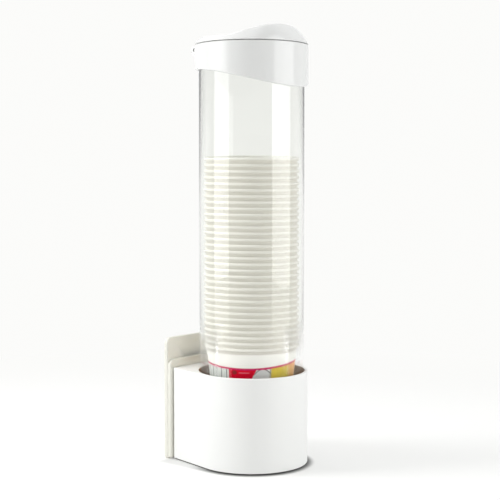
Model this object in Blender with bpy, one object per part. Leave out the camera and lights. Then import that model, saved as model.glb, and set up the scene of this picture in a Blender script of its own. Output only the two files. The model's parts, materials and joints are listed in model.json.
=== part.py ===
"""Wall cup dispenser: a clear tube of nested paper cups on a white base.

The dispenser hangs on a wall plate by four hooks. A flip lid closes the top.
In the base four sprung claws grip the lowest cup and let one cup at a time
be pulled down. Lengths are in metres and +Z is up. The wall is on the +Y
side, and the origin is under the middle of the whole object.
"""
import math

import bmesh
import bpy
from mathutils import Matrix, Vector

MM = 0.001

# Fits shared by all pieces
GAP = 0.3 * MM
PIN_GAP = 0.15 * MM
OVERRUN = 5 * MM
MERGE = 0.001 * MM
SHARP_ANGLE = math.radians(35)
ROUND_SIDES = 40
ARC_STEPS = 34
CORNER_STEPS = 4

# Clear tube, whose radius sets the width of all that is round it and in it
TUBE_RADIUS = 41.8 * MM
TUBE_WALL = 1.5 * MM
TUBE_TOP = 326 * MM

# Base housing, whose height sets the places of the ledge, claws, cups and plate
BODY_HEIGHT = 75 * MM
THROAT_SIDE_GAP = 0.7 * MM
THROAT_RADIUS = TUBE_RADIUS + THROAT_SIDE_GAP
BODY_SKIN = 2.4 * MM
BODY_RADIUS = THROAT_RADIUS + BODY_SKIN
BODY_TAPER = math.radians(12)
BODY_NECK = 9.0 * MM
BODY_BACK = BODY_RADIUS + BODY_NECK
BODY_CORNER = 1.0 * MM
BODY_WALL = 2.2 * MM
BODY_ROOF = 2.2 * MM
BODY_EDGE = 0.6 * MM
THROAT_WALL = 2.0 * MM
THROAT_STEP = 0.4 * MM
LEDGE_REACH = 2.6 * MM
LEDGE_RADIUS = TUBE_RADIUS - LEDGE_REACH
LEDGE_DROP = 13.5 * MM
LEDGE_TOP = BODY_HEIGHT - LEDGE_DROP
LEDGE_HEIGHT = 5 * MM
TUBE_RIB_COUNT = 6
TUBE_RIB_WIDTH = 1.2 * MM
TUBE_RIB_TOP_DROP = 3 * MM

# Wall plate with its raised hanger block
BLOCK_SHADOW_GAP = 1 * MM
BLOCK_FRONT = BODY_BACK + BLOCK_SHADOW_GAP
BLOCK_THICKNESS = 3 * MM
PLATE_FRONT = BLOCK_FRONT + BLOCK_THICKNESS
PLATE_THICKNESS = 3.8 * MM
BLOCK_INSET = 8.9 * MM
BLOCK_HALF_WIDTH = BODY_RADIUS - BLOCK_INSET
BLOCK_RISE = 6.7 * MM
BLOCK_HEIGHT = BODY_HEIGHT + BLOCK_RISE
PLATE_SIDE = 1.2 * MM
PLATE_HALF_WIDTH = BLOCK_HALF_WIDTH + PLATE_SIDE
PLATE_RISE = 17.5 * MM
PLATE_HEIGHT = BLOCK_HEIGHT + PLATE_RISE
PLATE_TOP_CORNER = 5 * MM
PLATE_FOOT_CORNER = 1.5 * MM
PLATE_EDGE = 0.6 * MM
BLOCK_SINK = 1 * MM
LOW_WALL_SCREW = 33 * MM
HIGH_WALL_SCREW_DROP = 7 * MM
WALL_SCREW_HEIGHTS = (LOW_WALL_SCREW, BODY_HEIGHT - HIGH_WALL_SCREW_DROP)
WALL_SCREW_RADIUS = 2.1 * MM
WALL_SCREW_HEAD_RADIUS = 4.2 * MM
WALL_SCREW_SIDES = 16

# Hooks on the plate and their slots in the housing
LOW_HOOK = 16 * MM
HIGH_HOOK_DROP = 25 * MM
HOOK_ROWS = (LOW_HOOK, BODY_HEIGHT - HIGH_HOOK_DROP)
HOOK_OFFSET = 18 * MM
HOOK_WIDTH = 8 * MM
HOOK_SHANK = 3 * MM
HOOK_RISE = 7 * MM
HOOK_THICKNESS = 2.1 * MM
HOOK_THROAT_GAP = 0.4 * MM
SLOT_SIDE_GAP = 0.5 * MM
LIFT_TRAVEL = 7.3 * MM

# Cover of the hollow neck behind the throat
COVER_BOTTOM = 1 * MM
COVER_THICKNESS = 2 * MM
COVER_SCREW_INSET = 17.4 * MM
COVER_SCREW_X = BODY_RADIUS - COVER_SCREW_INSET
COVER_SCREW_BACKSET = 8.3 * MM
COVER_SCREW_Y = BODY_BACK - COVER_SCREW_BACKSET
BOSS_RADIUS = 3.2 * MM
BOSS_RIB_WIDTH = 1.5 * MM
COVER_SCREW_SHANK = 1 * MM
COVER_SCREW_HEAD = 1.9 * MM
COVER_SCREW_HEAD_HEIGHT = 1.1 * MM
COVER_SCREW_LENGTH = 10 * MM
SMALL_SCREW_SIDES = 8

# Claw carrier, a ring screwed up against the ledge
CARRIER_RADIUS = THROAT_RADIUS - GAP
CARRIER_WALL = 3.4 * MM
CARRIER_BORE = CARRIER_RADIUS - CARRIER_WALL
CARRIER_FLANGE = 4.2 * MM
CARRIER_EAR_DROP = 4.6 * MM
CARRIER_EAR_HALF_WIDTH = 9.6 * MM
CARRIER_SCREW_SHANK = 0.85 * MM
CARRIER_SCREW_HEAD = 1.4 * MM
CARRIER_SCREW_HEAD_HEIGHT = 0.9 * MM
CARRIER_SCREW_BITE = 3.4 * MM

# Claws, their pins and springs
CLAW_COUNT = 4
CLAW_PIVOT_INSET = 2.2 * MM
CLAW_PIVOT_RADIUS = CARRIER_RADIUS - CLAW_PIVOT_INSET
CLAW_PIVOT_DROP = 2 * MM
CLAW_WIDTH = 12 * MM
CLAW_SIDE_GAP = 0.3 * MM
CLAW_HUB_RADIUS = 1.4 * MM
CLAW_REACH_DROP = 9.8 * MM
CLAW_ARM = 1.7 * MM
CLAW_PAD_LENGTH = 3 * MM
CLAW_SLOT_WIDTH = 5.4 * MM
CLAW_SLOT_REACH = 3.4 * MM
CLAW_PIN_RADIUS = 0.7 * MM
CLAW_PIN_LENGTH = 17.2 * MM
CLAW_HUB_SIDES = 12
SPRING_WIRE = 0.2 * MM
SPRING_COIL_RADIUS = 1.22 * MM
SPRING_PITCH = 1.1 * MM
SPRING_TURNS = 3
SPRING_POINTS_PER_TURN = 8
SPRING_LEG = 8 * MM
SPRING_LEG_OFFSET = 2.15 * MM
SPRING_TAIL = 1.75 * MM

# Collar around the top of the tube
COLLAR_WALL = 2.7 * MM
COLLAR_RADIUS = TUBE_RADIUS + GAP + COLLAR_WALL
COLLAR_RISE = 6.6 * MM
COLLAR_TOP = TUBE_TOP + COLLAR_RISE
COLLAR_SKIRT = 15.9 * MM
COLLAR_SLANT_MIDDLE = TUBE_TOP - COLLAR_SKIRT
COLLAR_SLANT = 0.169
COLLAR_BOW_RADIUS = 240 * MM
COLLAR_EDGE = 0.9 * MM
COLLAR_LIP_HEIGHT = 1.9 * MM
COLLAR_LIP_GAP = 0.3 * MM

# Hinge at the back of the collar
HINGE_STANDOFF = 4.3 * MM
HINGE_Y = COLLAR_RADIUS + HINGE_STANDOFF
HINGE_DROP = 1.3 * MM
HINGE_Z = COLLAR_TOP - HINGE_DROP
HINGE_EYE_RADIUS = 3 * MM
HINGE_HALF_WIDTH = 14 * MM
KNUCKLE_HALF_WIDTH = 8.2 * MM
HINGE_SIDE_GAP = 0.5 * MM
HINGE_PIN_RADIUS = 1.2 * MM
HINGE_PIN_RECESS = 0.8 * MM
HINGE_SIDES = 16
EAR_FOOT_DROP = 9 * MM
TONGUE_THICKNESS = 2.6 * MM

# Flip lid, whose top is a low plateau that sweeps up to a peak at the front
LID_RADIUS = COLLAR_RADIUS
LID_PLATEAU = 4.84 * MM
LID_PEAK = 17.5 * MM
LID_SWEEP_START = 8.56 * MM
LID_SWEEP_END_INSET = 0.9 * MM
LID_SWEEP_END = LID_RADIUS - LID_SWEEP_END_INSET
LID_CROWN_RADIUS = 15.3 * MM
LID_SHOULDER_REACH = LID_RADIUS - LID_CROWN_RADIUS
LID_SHOULDER_HEIGHT = 22.23 * MM
LID_SHOULDER_ROUND = 1.83
LID_SHOULDER_RISE = 1.2
LID_BLEND = 0.89 * MM
LID_WALL = 1.9 * MM
LID_SKIRT_DEPTH = 2.6 * MM
LID_SKIRT_WALL = 1.4 * MM
LID_RIM_EDGE = 0.8 * MM
LID_TOP_SHARES = (0.3, 0.62, 0.94)
LID_SHOULDER_SHARES = (0, 0.12, 0.4, 0.7, 0.92, 1)
LID_ROOF_SHARES = (0.92, 0.6, 0.25)
CREST_STEPS = 24

# Paper cups
CUP_COUNT = 32
CUP_PITCH = 4.75 * MM
CUP_HEIGHT = 89 * MM
CUP_STAND_OUT = 20.4 * MM
CUP_LOWEST_RIM = BODY_HEIGHT + CUP_STAND_OUT
CUP_SIDE_ROOM = 2.3 * MM
CUP_RIM_RADIUS = TUBE_RADIUS - TUBE_WALL - CUP_SIDE_ROOM
CUP_BEAD = 1.7 * MM
CUP_BEAD_HEIGHT = 2.8 * MM
CUP_FLARE = 11.8 * MM
CUP_FOOT_RADIUS = CUP_RIM_RADIUS - CUP_FLARE
CUP_WALL = 0.26 * MM
CUP_RECESS = 4 * MM
CUP_FLOOR = 0.35 * MM
CUP_BEAD_ROUND_SHARE = 0.25
CUP_SIDES = 16

# Places worked out from the sizes above
HALF = 0.5
PLATE_BACK = PLATE_FRONT + PLATE_THICKNESS
AXIS_Y = HALF * (BODY_RADIUS - PLATE_BACK)
LEDGE_BOTTOM = LEDGE_TOP - LEDGE_HEIGHT
CARRIER_TOP = LEDGE_BOTTOM - GAP
CARRIER_UNDERSIDE = CARRIER_TOP - CARRIER_FLANGE
CLAW_PIVOT_Z = CARRIER_UNDERSIDE - CLAW_PIVOT_DROP
COVER_TOP = COVER_BOTTOM + COVER_THICKNESS
CUP_TOP = CUP_LOWEST_RIM + HALF * CUP_BEAD_HEIGHT
CUP_FOOT = CUP_TOP - CUP_HEIGHT
CUP_UNDER_RIM = CUP_HEIGHT - CUP_BEAD_HEIGHT
CUP_SLOPE = (CUP_RIM_RADIUS - CUP_BEAD - CUP_FOOT_RADIUS) / CUP_UNDER_RIM
LID_BOTTOM = COLLAR_TOP + GAP


def clear_scene():
    for thing in list(bpy.data.objects):
        bpy.data.objects.remove(thing, do_unlink=True)


def finish(name, colour, roughness, metallic=0.0, alpha=1.0):
    """A plain Principled material in the piece's own colour."""
    material = bpy.data.materials.new(name)
    material.use_nodes = True
    shader = material.node_tree.nodes["Principled BSDF"]
    shader.inputs["Base Color"].default_value = (*colour, 1.0)
    shader.inputs["Roughness"].default_value = roughness
    shader.inputs["Metallic"].default_value = metallic
    shader.inputs["Alpha"].default_value = alpha
    material.diffuse_color = (*colour, alpha)
    return material


def to_object(name, mesh_data, material=None, smooth=True):
    """Turns a bmesh built about the tube's axis into an object of the scene."""
    bmesh.ops.remove_doubles(mesh_data, verts=mesh_data.verts, dist=MERGE)
    bmesh.ops.recalc_face_normals(mesh_data, faces=mesh_data.faces)
    mesh = bpy.data.meshes.new(name)
    mesh_data.to_mesh(mesh)
    mesh_data.free()
    if smooth:
        mesh.shade_smooth()
        mesh.set_sharp_from_angle(angle=SHARP_ANGLE)
    piece = bpy.data.objects.new(name, mesh)
    piece.location = (0, AXIS_Y, 0)
    bpy.context.scene.collection.objects.link(piece)
    if material:
        mesh.materials.append(material)
    return piece


def lathe(name, profile, sides=ROUND_SIDES, material=None):
    """Spins a closed profile of (radius, height) points about the tube's axis."""
    work = bmesh.new()
    verts = [work.verts.new((radius, 0, height)) for radius, height in profile]
    on_axis = profile[0][0] == 0 and profile[-1][0] == 0
    edges = [work.edges.new(pair) for pair in zip(verts, verts[1:])]
    if not on_axis:
        edges.append(work.edges.new((verts[-1], verts[0])))
    bmesh.ops.spin(work, geom=verts + edges, cent=(0, 0, 0), axis=(0, 0, 1),
                   angle=math.tau, steps=sides, use_merge=True)
    return to_object(name, work, material)


def loft(name, loops, material=None, smooth=True):
    """Joins loops of equally many points, and caps the first and the last."""
    work = bmesh.new()
    rows = [[work.verts.new(point) for point in loop] for loop in loops]
    for low, high in zip(rows, rows[1:]):
        for i in range(len(low)):
            j = (i + 1) % len(low)
            work.faces.new((low[i], low[j], high[j], high[i]))
    work.faces.new(list(reversed(rows[0])))
    work.faces.new(rows[-1])
    return to_object(name, work, material, smooth)


def slab(name, outline, low, high, axis="Z", material=None, smooth=False):
    """Extrudes a flat outline along X, Y or Z from low to high."""
    place = {"X": lambda u, v, w: (w, u, v), "Y": lambda u, v, w: (u, w, v),
             "Z": lambda u, v, w: (u, v, w)}[axis]
    loops = [[place(u, v, w) for u, v in outline] for w in (low, high)]
    return loft(name, loops, material, smooth)


def boxes(name, corners, turns=(0,)):
    """Boxes between pairs of corners, repeated at turns about the tube's axis."""
    work = bmesh.new()
    for turn in turns:
        for low, high in corners:
            low, high = Vector(low), Vector(high)
            size = Matrix.Diagonal((*(high - low), 1))
            shift = Matrix.Translation((low + high) * HALF)
            matrix = Matrix.Rotation(turn, 4, "Z") @ shift @ size
            bmesh.ops.create_cube(work, size=1, matrix=matrix)
    return to_object(name, work, smooth=False)


def rods(name, radius, ends, sides, material=None, turns=(0,)):
    """Round rods between pairs of end points, repeated about the tube's axis."""
    work = bmesh.new()
    for turn in turns:
        for start, end in ends:
            start, end = Vector(start), Vector(end)
            along = end - start
            aim = along.to_track_quat("Z", "Y").to_matrix().to_4x4()
            shift = Matrix.Translation((start + end) * HALF)
            matrix = Matrix.Rotation(turn, 4, "Z") @ shift @ aim
            bmesh.ops.create_cone(work, cap_ends=True, segments=sides, radius1=radius,
                                  radius2=radius, depth=along.length, matrix=matrix)
    return to_object(name, work, material)


def change(target, tool, operation):
    """Cuts a hidden tool from a piece, or welds it on."""
    modifier = target.modifiers.new(tool.name, "BOOLEAN")
    modifier.operation = operation
    modifier.solver = "EXACT"
    modifier.object = tool
    tool.hide_render = True
    tool.display_type = "WIRE"


def cut(target, tool):
    change(target, tool, "DIFFERENCE")


def weld(target, tool):
    change(target, tool, "UNION")


def set_origin(piece, point):
    """Moves a piece's origin to a point given from the tube's axis."""
    shift = Vector(point)
    piece.data.transform(Matrix.Translation(-shift))
    piece.location = Vector(piece.location) + shift


def claw_turns():
    """Directions of the claws, halfway between the front, the back and the sides."""
    step = math.tau / CLAW_COUNT
    return [step * (index + HALF) for index in range(CLAW_COUNT)]


def body_outline(inset, corner):
    """Round front with sides that run in tangents to a narrower flat back."""
    radius = BODY_RADIUS - inset
    back = BODY_BACK - inset
    points = []
    sweep = math.pi + 2 * BODY_TAPER
    for step in range(ARC_STEPS + 1):
        angle = math.pi - BODY_TAPER + sweep * step / ARC_STEPS
        points.append((radius * math.cos(angle), radius * math.sin(angle)))
    centre_y = back - corner
    centre_x = (radius - corner - math.sin(BODY_TAPER) * centre_y) / math.cos(BODY_TAPER)
    bend = math.pi / 2 - BODY_TAPER
    right = []
    for step in range(CORNER_STEPS + 1):
        angle = BODY_TAPER + bend * step / CORNER_STEPS
        right.append((centre_x + corner * math.cos(angle), centre_y + corner * math.sin(angle)))
    left = [(-x, y) for x, y in reversed(right)]
    return points + right + left


def plate_outline(half_width, height, top_corner, foot_corner):
    """Upright rectangle from the floor with rounded top and foot corners."""
    points = []
    corners = ((1, 0, foot_corner, -math.pi / 2), (1, height, top_corner, 0),
               (-1, height, top_corner, math.pi / 2), (-1, 0, foot_corner, math.pi))
    for side, level, corner, first in corners:
        centre_x = side * (half_width - corner)
        centre_z = level - corner if level else corner
        for step in range(CORNER_STEPS + 1):
            angle = first + math.pi / 2 * step / CORNER_STEPS
            points.append((centre_x + corner * math.cos(angle), centre_z + corner * math.sin(angle)))
    return points


def make_housing(material):
    """Shell, round throat with the tube's ledge, bosses and hook slots."""
    outer = [(body_outline(0, BODY_CORNER), 0),
             (body_outline(0, BODY_CORNER), BODY_HEIGHT - BODY_EDGE),
             (body_outline(BODY_EDGE, BODY_CORNER - BODY_EDGE), BODY_HEIGHT)]
    housing = loft("base_housing", [[(x, y, z) for x, y in loop] for loop, z in outer], material)
    inner_corner = max(BODY_CORNER - BODY_WALL, BODY_EDGE)
    hollow = slab("cut_housing_hollow", body_outline(BODY_WALL, inner_corner), -OVERRUN,
                  BODY_HEIGHT - BODY_ROOF)
    cut(housing, hollow)
    throat_middle = THROAT_RADIUS + HALF * THROAT_WALL
    mouth = rods("cut_housing_mouth", throat_middle,
                 [((0, 0, -OVERRUN), (0, 0, BODY_HEIGHT + OVERRUN))], ROUND_SIDES)
    cut(housing, mouth)
    outside = THROAT_RADIUS + THROAT_WALL
    throat = lathe("weld_housing_throat", [
        (outside, THROAT_STEP), (outside, BODY_HEIGHT - THROAT_STEP),
        (THROAT_RADIUS, BODY_HEIGHT - THROAT_STEP), (THROAT_RADIUS, LEDGE_TOP),
        (LEDGE_RADIUS, LEDGE_TOP), (LEDGE_RADIUS, LEDGE_BOTTOM),
        (THROAT_RADIUS, LEDGE_BOTTOM), (THROAT_RADIUS, THROAT_STEP)])
    weld(housing, throat)
    rib_face = TUBE_RADIUS + GAP
    ribs = boxes("weld_tube_ribs",
                 [((rib_face, -HALF * TUBE_RIB_WIDTH, LEDGE_TOP - BODY_EDGE),
                   (throat_middle, HALF * TUBE_RIB_WIDTH, BODY_HEIGHT - TUBE_RIB_TOP_DROP))],
                 [math.tau * index / TUBE_RIB_COUNT for index in range(TUBE_RIB_COUNT)])
    weld(housing, ribs)
    boss_bottom = COVER_TOP + GAP
    boss_top = BODY_HEIGHT - HALF * BODY_ROOF
    sides = (-1, 1)
    bosses = rods("weld_cover_bosses", BOSS_RADIUS,
                  [((side * COVER_SCREW_X, COVER_SCREW_Y, boss_bottom),
                    (side * COVER_SCREW_X, COVER_SCREW_Y, boss_top)) for side in sides],
                  CLAW_HUB_SIDES)
    weld(housing, bosses)
    rib_back = BODY_BACK - HALF * BODY_WALL
    boss_ribs = boxes("weld_boss_ribs",
                      [((side * COVER_SCREW_X - HALF * BOSS_RIB_WIDTH, COVER_SCREW_Y,
                         boss_bottom + BODY_EDGE),
                        (side * COVER_SCREW_X + HALF * BOSS_RIB_WIDTH, rib_back,
                         boss_top - BODY_EDGE)) for side in sides])
    weld(housing, boss_ribs)
    slots = []
    for row in HOOK_ROWS:
        for side in sides:
            reach = HALF * HOOK_WIDTH + SLOT_SIDE_GAP
            top = row + HOOK_SHANK + GAP
            bottom = row - LIFT_TRAVEL - GAP
            slots.append(((side * HOOK_OFFSET - reach, BODY_BACK - BODY_WALL - GAP, bottom),
                          (side * HOOK_OFFSET + reach, BODY_BACK + OVERRUN, top)))
    cut(housing, boxes("cut_hook_slots", slots))
    cover_screw_top = COVER_TOP + COVER_SCREW_LENGTH + GAP
    cut(housing, rods("cut_boss_bores", COVER_SCREW_SHANK + PIN_GAP,
                      [((side * COVER_SCREW_X, COVER_SCREW_Y, 0),
                        (side * COVER_SCREW_X, COVER_SCREW_Y, cover_screw_top)) for side in sides],
                      SMALL_SCREW_SIDES))
    cut(housing, carrier_screw_bores("cut_ledge_bores", LEDGE_BOTTOM - GAP))
    return housing


def carrier_screw_radius():
    return HALF * (CARRIER_RADIUS + CARRIER_BORE)


def screw_turns():
    return [math.tau * index / CLAW_COUNT for index in range(CLAW_COUNT)]


def carrier_screw_bores(name, bottom):
    radius = carrier_screw_radius()
    top = LEDGE_BOTTOM + CARRIER_SCREW_BITE + GAP
    return rods(name, CARRIER_SCREW_SHANK + PIN_GAP, [((radius, 0, bottom), (radius, 0, top))],
                SMALL_SCREW_SIDES, turns=screw_turns())


def make_tube(material):
    """Clear tube that stands on the ledge in the throat."""
    bottom = LEDGE_TOP + GAP
    bore = TUBE_RADIUS - TUBE_WALL
    return lathe("clear_tube", [(TUBE_RADIUS, bottom), (TUBE_RADIUS, TUBE_TOP),
                                (bore, TUBE_TOP), (bore, bottom)], material=material)


def make_plate(material):
    """Wall plate, raised block, two countersunk holes and four upright hooks."""
    outline = plate_outline(PLATE_HALF_WIDTH, PLATE_HEIGHT, PLATE_TOP_CORNER, PLATE_FOOT_CORNER)
    half_height = HALF * PLATE_HEIGHT
    narrow = 1 - PLATE_EDGE / PLATE_HALF_WIDTH
    low = 1 - PLATE_EDGE / half_height
    inner = [(x * narrow, half_height + (z - half_height) * low) for x, z in outline]
    plate = loft("wall_plate", [[(x, PLATE_FRONT, z) for x, z in inner],
                                [(x, PLATE_FRONT + PLATE_EDGE, z) for x, z in outline],
                                [(x, PLATE_BACK, z) for x, z in outline]], material, smooth=False)
    block = slab("weld_hanger_block",
                 plate_outline(BLOCK_HALF_WIDTH, BLOCK_HEIGHT - PLATE_EDGE, PLATE_TOP_CORNER,
                               PLATE_FOOT_CORNER), BLOCK_FRONT, PLATE_FRONT + BLOCK_SINK, "Y")
    block.location.z += PLATE_EDGE
    weld(plate, block)
    wall_inside = BODY_BACK - BODY_WALL
    nose_back = wall_inside - HOOK_THROAT_GAP
    nose_front = nose_back - HOOK_THICKNESS
    hooks = []
    for row in HOOK_ROWS:
        outline = [(nose_front, row), (BLOCK_FRONT + BLOCK_SINK, row),
                   (BLOCK_FRONT + BLOCK_SINK, row + HOOK_SHANK), (nose_back, row + HOOK_SHANK),
                   (nose_back, row + HOOK_SHANK + HOOK_RISE - HALF * HOOK_THICKNESS),
                   (nose_front + HALF * HOOK_THICKNESS, row + HOOK_SHANK + HOOK_RISE),
                   (nose_front, row + HOOK_SHANK + HOOK_RISE - HALF * HOOK_THICKNESS)]
        for side in (-1, 1):
            left = side * HOOK_OFFSET - HALF * HOOK_WIDTH
            hooks.append((outline, left, left + HOOK_WIDTH))
    for number, (outline, left, right) in enumerate(hooks, 1):
        weld(plate, slab(f"weld_hook_{number}", outline, left, right, "X"))
    front = BLOCK_FRONT - OVERRUN
    holes = rods("cut_wall_screw_holes", WALL_SCREW_RADIUS,
                 [((0, front, z), (0, PLATE_BACK + OVERRUN, z)) for z in WALL_SCREW_HEIGHTS],
                 WALL_SCREW_SIDES)
    cut(plate, holes)
    sinks = rods("cut_wall_screw_heads", WALL_SCREW_HEAD_RADIUS,
                 [((0, front, z), (0, PLATE_FRONT, z)) for z in WALL_SCREW_HEIGHTS],
                 WALL_SCREW_SIDES)
    cut(plate, sinks)
    return plate


def make_cover(material):
    """Arched plate that closes the hollow neck from below."""
    fit = BODY_WALL + GAP
    outline = body_outline(fit, max(BODY_CORNER - fit, BODY_EDGE))
    cover = slab("neck_cover", outline, COVER_BOTTOM, COVER_TOP, material=material)
    cut(cover, rods("cut_cover_arch", THROAT_RADIUS + THROAT_WALL + GAP,
                    [((0, 0, 0), (0, 0, COVER_TOP + OVERRUN))], ROUND_SIDES))
    ends = [((side * COVER_SCREW_X, COVER_SCREW_Y, 0),
             (side * COVER_SCREW_X, COVER_SCREW_Y, COVER_TOP + OVERRUN)) for side in (-1, 1)]
    cut(cover, rods("cut_cover_bores", COVER_SCREW_SHANK + PIN_GAP, ends, SMALL_SCREW_SIDES))
    head_room = COVER_BOTTOM + COVER_SCREW_HEAD_HEIGHT + PIN_GAP
    sinks = [((start[0], start[1], 0), (end[0], end[1], head_room)) for start, end in ends]
    cut(cover, rods("cut_cover_heads", COVER_SCREW_HEAD + PIN_GAP, sinks, CLAW_HUB_SIDES))
    return cover


def screw_profile(shank, head, head_height, length):
    """Pan head below, shank above with a short point."""
    return [(0, 0), (head - HALF * head_height, 0), (head, HALF * head_height),
            (head, head_height), (shank, head_height), (shank, head_height + length - shank),
            (0, head_height + length)]


def make_screws(name, profile, places, material):
    """Equal screws that share one mesh, numbered in the order of their places."""
    first = lathe(f"{name}_1", profile, SMALL_SCREW_SIDES, material)
    for number, place in enumerate(places, 1):
        screw = first
        if number > 1:
            screw = bpy.data.objects.new(f"{name}_{number}", first.data)
            bpy.context.scene.collection.objects.link(screw)
        screw.location = Vector((0, AXIS_Y, 0)) + Vector(place)


def make_carrier(material):
    """Ring with eight ears in four pairs, between which the claws turn."""
    bottom = CARRIER_UNDERSIDE - CARRIER_EAR_DROP
    carrier = lathe("claw_carrier", [(CARRIER_RADIUS, bottom), (CARRIER_RADIUS, CARRIER_TOP),
                                     (CARRIER_BORE, CARRIER_TOP), (CARRIER_BORE, bottom)],
                    material=material)
    half_step = math.pi / CLAW_COUNT
    ear_angle = math.asin(CARRIER_EAR_HALF_WIDTH / CLAW_PIVOT_RADIUS)
    window = CARRIER_BORE * math.sin(half_step - ear_angle)
    inside = CARRIER_BORE * math.cos(half_step)
    windows = boxes("cut_carrier_windows",
                    [((inside, -window, bottom - OVERRUN),
                      (CARRIER_RADIUS + OVERRUN, window, CARRIER_UNDERSIDE))], screw_turns())
    cut(carrier, windows)
    pocket = HALF * CLAW_WIDTH + CLAW_SIDE_GAP
    pockets = boxes("cut_claw_pockets",
                    [((CARRIER_BORE - OVERRUN, -pocket, bottom - OVERRUN),
                      (CARRIER_RADIUS + OVERRUN, pocket, CARRIER_UNDERSIDE))], claw_turns())
    cut(carrier, pockets)
    cut(carrier, claw_rods("cut_carrier_pin_bores", CLAW_PIN_RADIUS + PIN_GAP,
                           CLAW_PIN_LENGTH + GAP + GAP, claw_turns()))
    cut(carrier, carrier_screw_bores("cut_carrier_bores", CARRIER_UNDERSIDE - OVERRUN))
    return carrier


def claw_rods(name, radius, length, turns, material=None):
    """One rod along the pivot axis of each claw."""
    end = HALF * length
    ends = [((CLAW_PIVOT_RADIUS, -end, CLAW_PIVOT_Z), (CLAW_PIVOT_RADIUS, end, CLAW_PIVOT_Z))]
    return rods(name, radius, ends, SMALL_SCREW_SIDES, material, turns)


def cup_radius_at(height):
    """Outer radius of the lowest cup's wall at a height above the floor."""
    return CUP_FOOT_RADIUS + CUP_SLOPE * (height - CUP_FOOT)


def claw_face():
    """Where a closed claw meets the cup: how far in from the pivot, and down."""
    reach = cup_radius_at(CLAW_PIVOT_Z - CLAW_REACH_DROP) + GAP
    return CLAW_PIVOT_RADIUS - reach, CLAW_REACH_DROP


def make_claw(number, turn, material):
    """Claw with a split hub, a straight arm and a pad that lies on the cup."""
    inward, down = claw_face()
    length = math.hypot(inward, down)
    behind = (CLAW_ARM * down / length, -CLAW_ARM * inward / length)
    pad_back = CLAW_ARM - inward
    pad_foot = -down - CLAW_PAD_LENGTH
    pad_lean = CUP_SLOPE * CLAW_PAD_LENGTH
    arm_end = -down - CLAW_ARM * (inward - CLAW_ARM) / down
    outline = [(0, 0), (-inward, -down), (-inward - pad_lean, pad_foot),
               (pad_back - pad_lean, pad_foot), (pad_back, arm_end), behind]
    half = HALF * CLAW_WIDTH
    claw = slab(f"claw_{number}", outline, -half, half, "Y", material)
    hub = rods(f"weld_claw_hub_{number}", CLAW_HUB_RADIUS, [((0, -half, 0), (0, half, 0))],
               CLAW_HUB_SIDES)
    bore = rods(f"cut_claw_bore_{number}", CLAW_PIN_RADIUS + PIN_GAP,
                [((0, -CLAW_WIDTH, 0), (0, CLAW_WIDTH, 0))], SMALL_SCREW_SIDES)
    gap = HALF * CLAW_SLOT_WIDTH
    slot = boxes(f"cut_claw_slot_{number}",
                 [((-CLAW_SLOT_REACH, -gap, -CLAW_SLOT_REACH),
                   (CLAW_SLOT_REACH, gap, CLAW_SLOT_REACH))])
    place = Matrix.Rotation(turn, 4, "Z") @ Vector((CLAW_PIVOT_RADIUS, 0, CLAW_PIVOT_Z))
    for piece in (claw, hub, bore, slot):
        piece.location = Vector((0, AXIS_Y, 0)) + place
        piece.rotation_euler = (0, 0, turn)
    weld(claw, hub)
    cut(claw, bore)
    cut(claw, slot)
    return claw


def make_spring(number, turn, material):
    """Torsion spring of round wire: coil on the pin, one leg on the claw's arm."""
    inward, down = claw_face()
    length = math.hypot(inward, down)
    along = (-inward / length, -down / length)
    across = (down / length, -inward / length)
    half_length = HALF * SPRING_TURNS * SPRING_PITCH
    start_angle = math.atan2(across[1], across[0])
    total = SPRING_TURNS * SPRING_POINTS_PER_TURN
    turn_end = (SPRING_TURNS - 1) * math.tau + (math.pi / 2 - start_angle) % math.tau
    points = []
    leg_start = HALF * SPRING_LEG_OFFSET
    for reach, offset in ((SPRING_LEG, SPRING_LEG_OFFSET),
                          (SPRING_LEG_OFFSET + leg_start, SPRING_LEG_OFFSET),
                          (leg_start, HALF * (SPRING_COIL_RADIUS + SPRING_LEG_OFFSET))):
        points.append((along[0] * reach + across[0] * offset, -half_length,
                       along[1] * reach + across[1] * offset))
    for step in range(total + 1):
        share = step / total
        angle = start_angle + turn_end * share
        points.append((SPRING_COIL_RADIUS * math.cos(angle), half_length * (2 * share - 1),
                       SPRING_COIL_RADIUS * math.sin(angle)))
    points.append((SPRING_TAIL, half_length, SPRING_COIL_RADIUS))
    curve = bpy.data.curves.new(f"claw_spring_{number}", "CURVE")
    curve.dimensions = "3D"
    curve.bevel_depth = SPRING_WIRE
    curve.bevel_resolution = 0
    curve.use_fill_caps = True
    wire = curve.splines.new("POLY")
    wire.points.add(len(points) - 1)
    for slot, point in zip(wire.points, points):
        slot.co = (*point, 1)
    spring = bpy.data.objects.new(f"claw_spring_{number}", curve)
    place = Matrix.Rotation(turn, 4, "Z") @ Vector((CLAW_PIVOT_RADIUS, 0, CLAW_PIVOT_Z))
    spring.location = Vector((0, AXIS_Y, 0)) + place
    spring.rotation_euler = (0, 0, turn)
    bpy.context.scene.collection.objects.link(spring)
    curve.materials.append(material)
    return spring


def collar_bottom(y):
    """Height of the collar's lower edge, which slants and bows a little."""
    return COLLAR_SLANT_MIDDLE + COLLAR_SLANT * y - HALF * y * y / COLLAR_BOW_RADIUS


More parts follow.
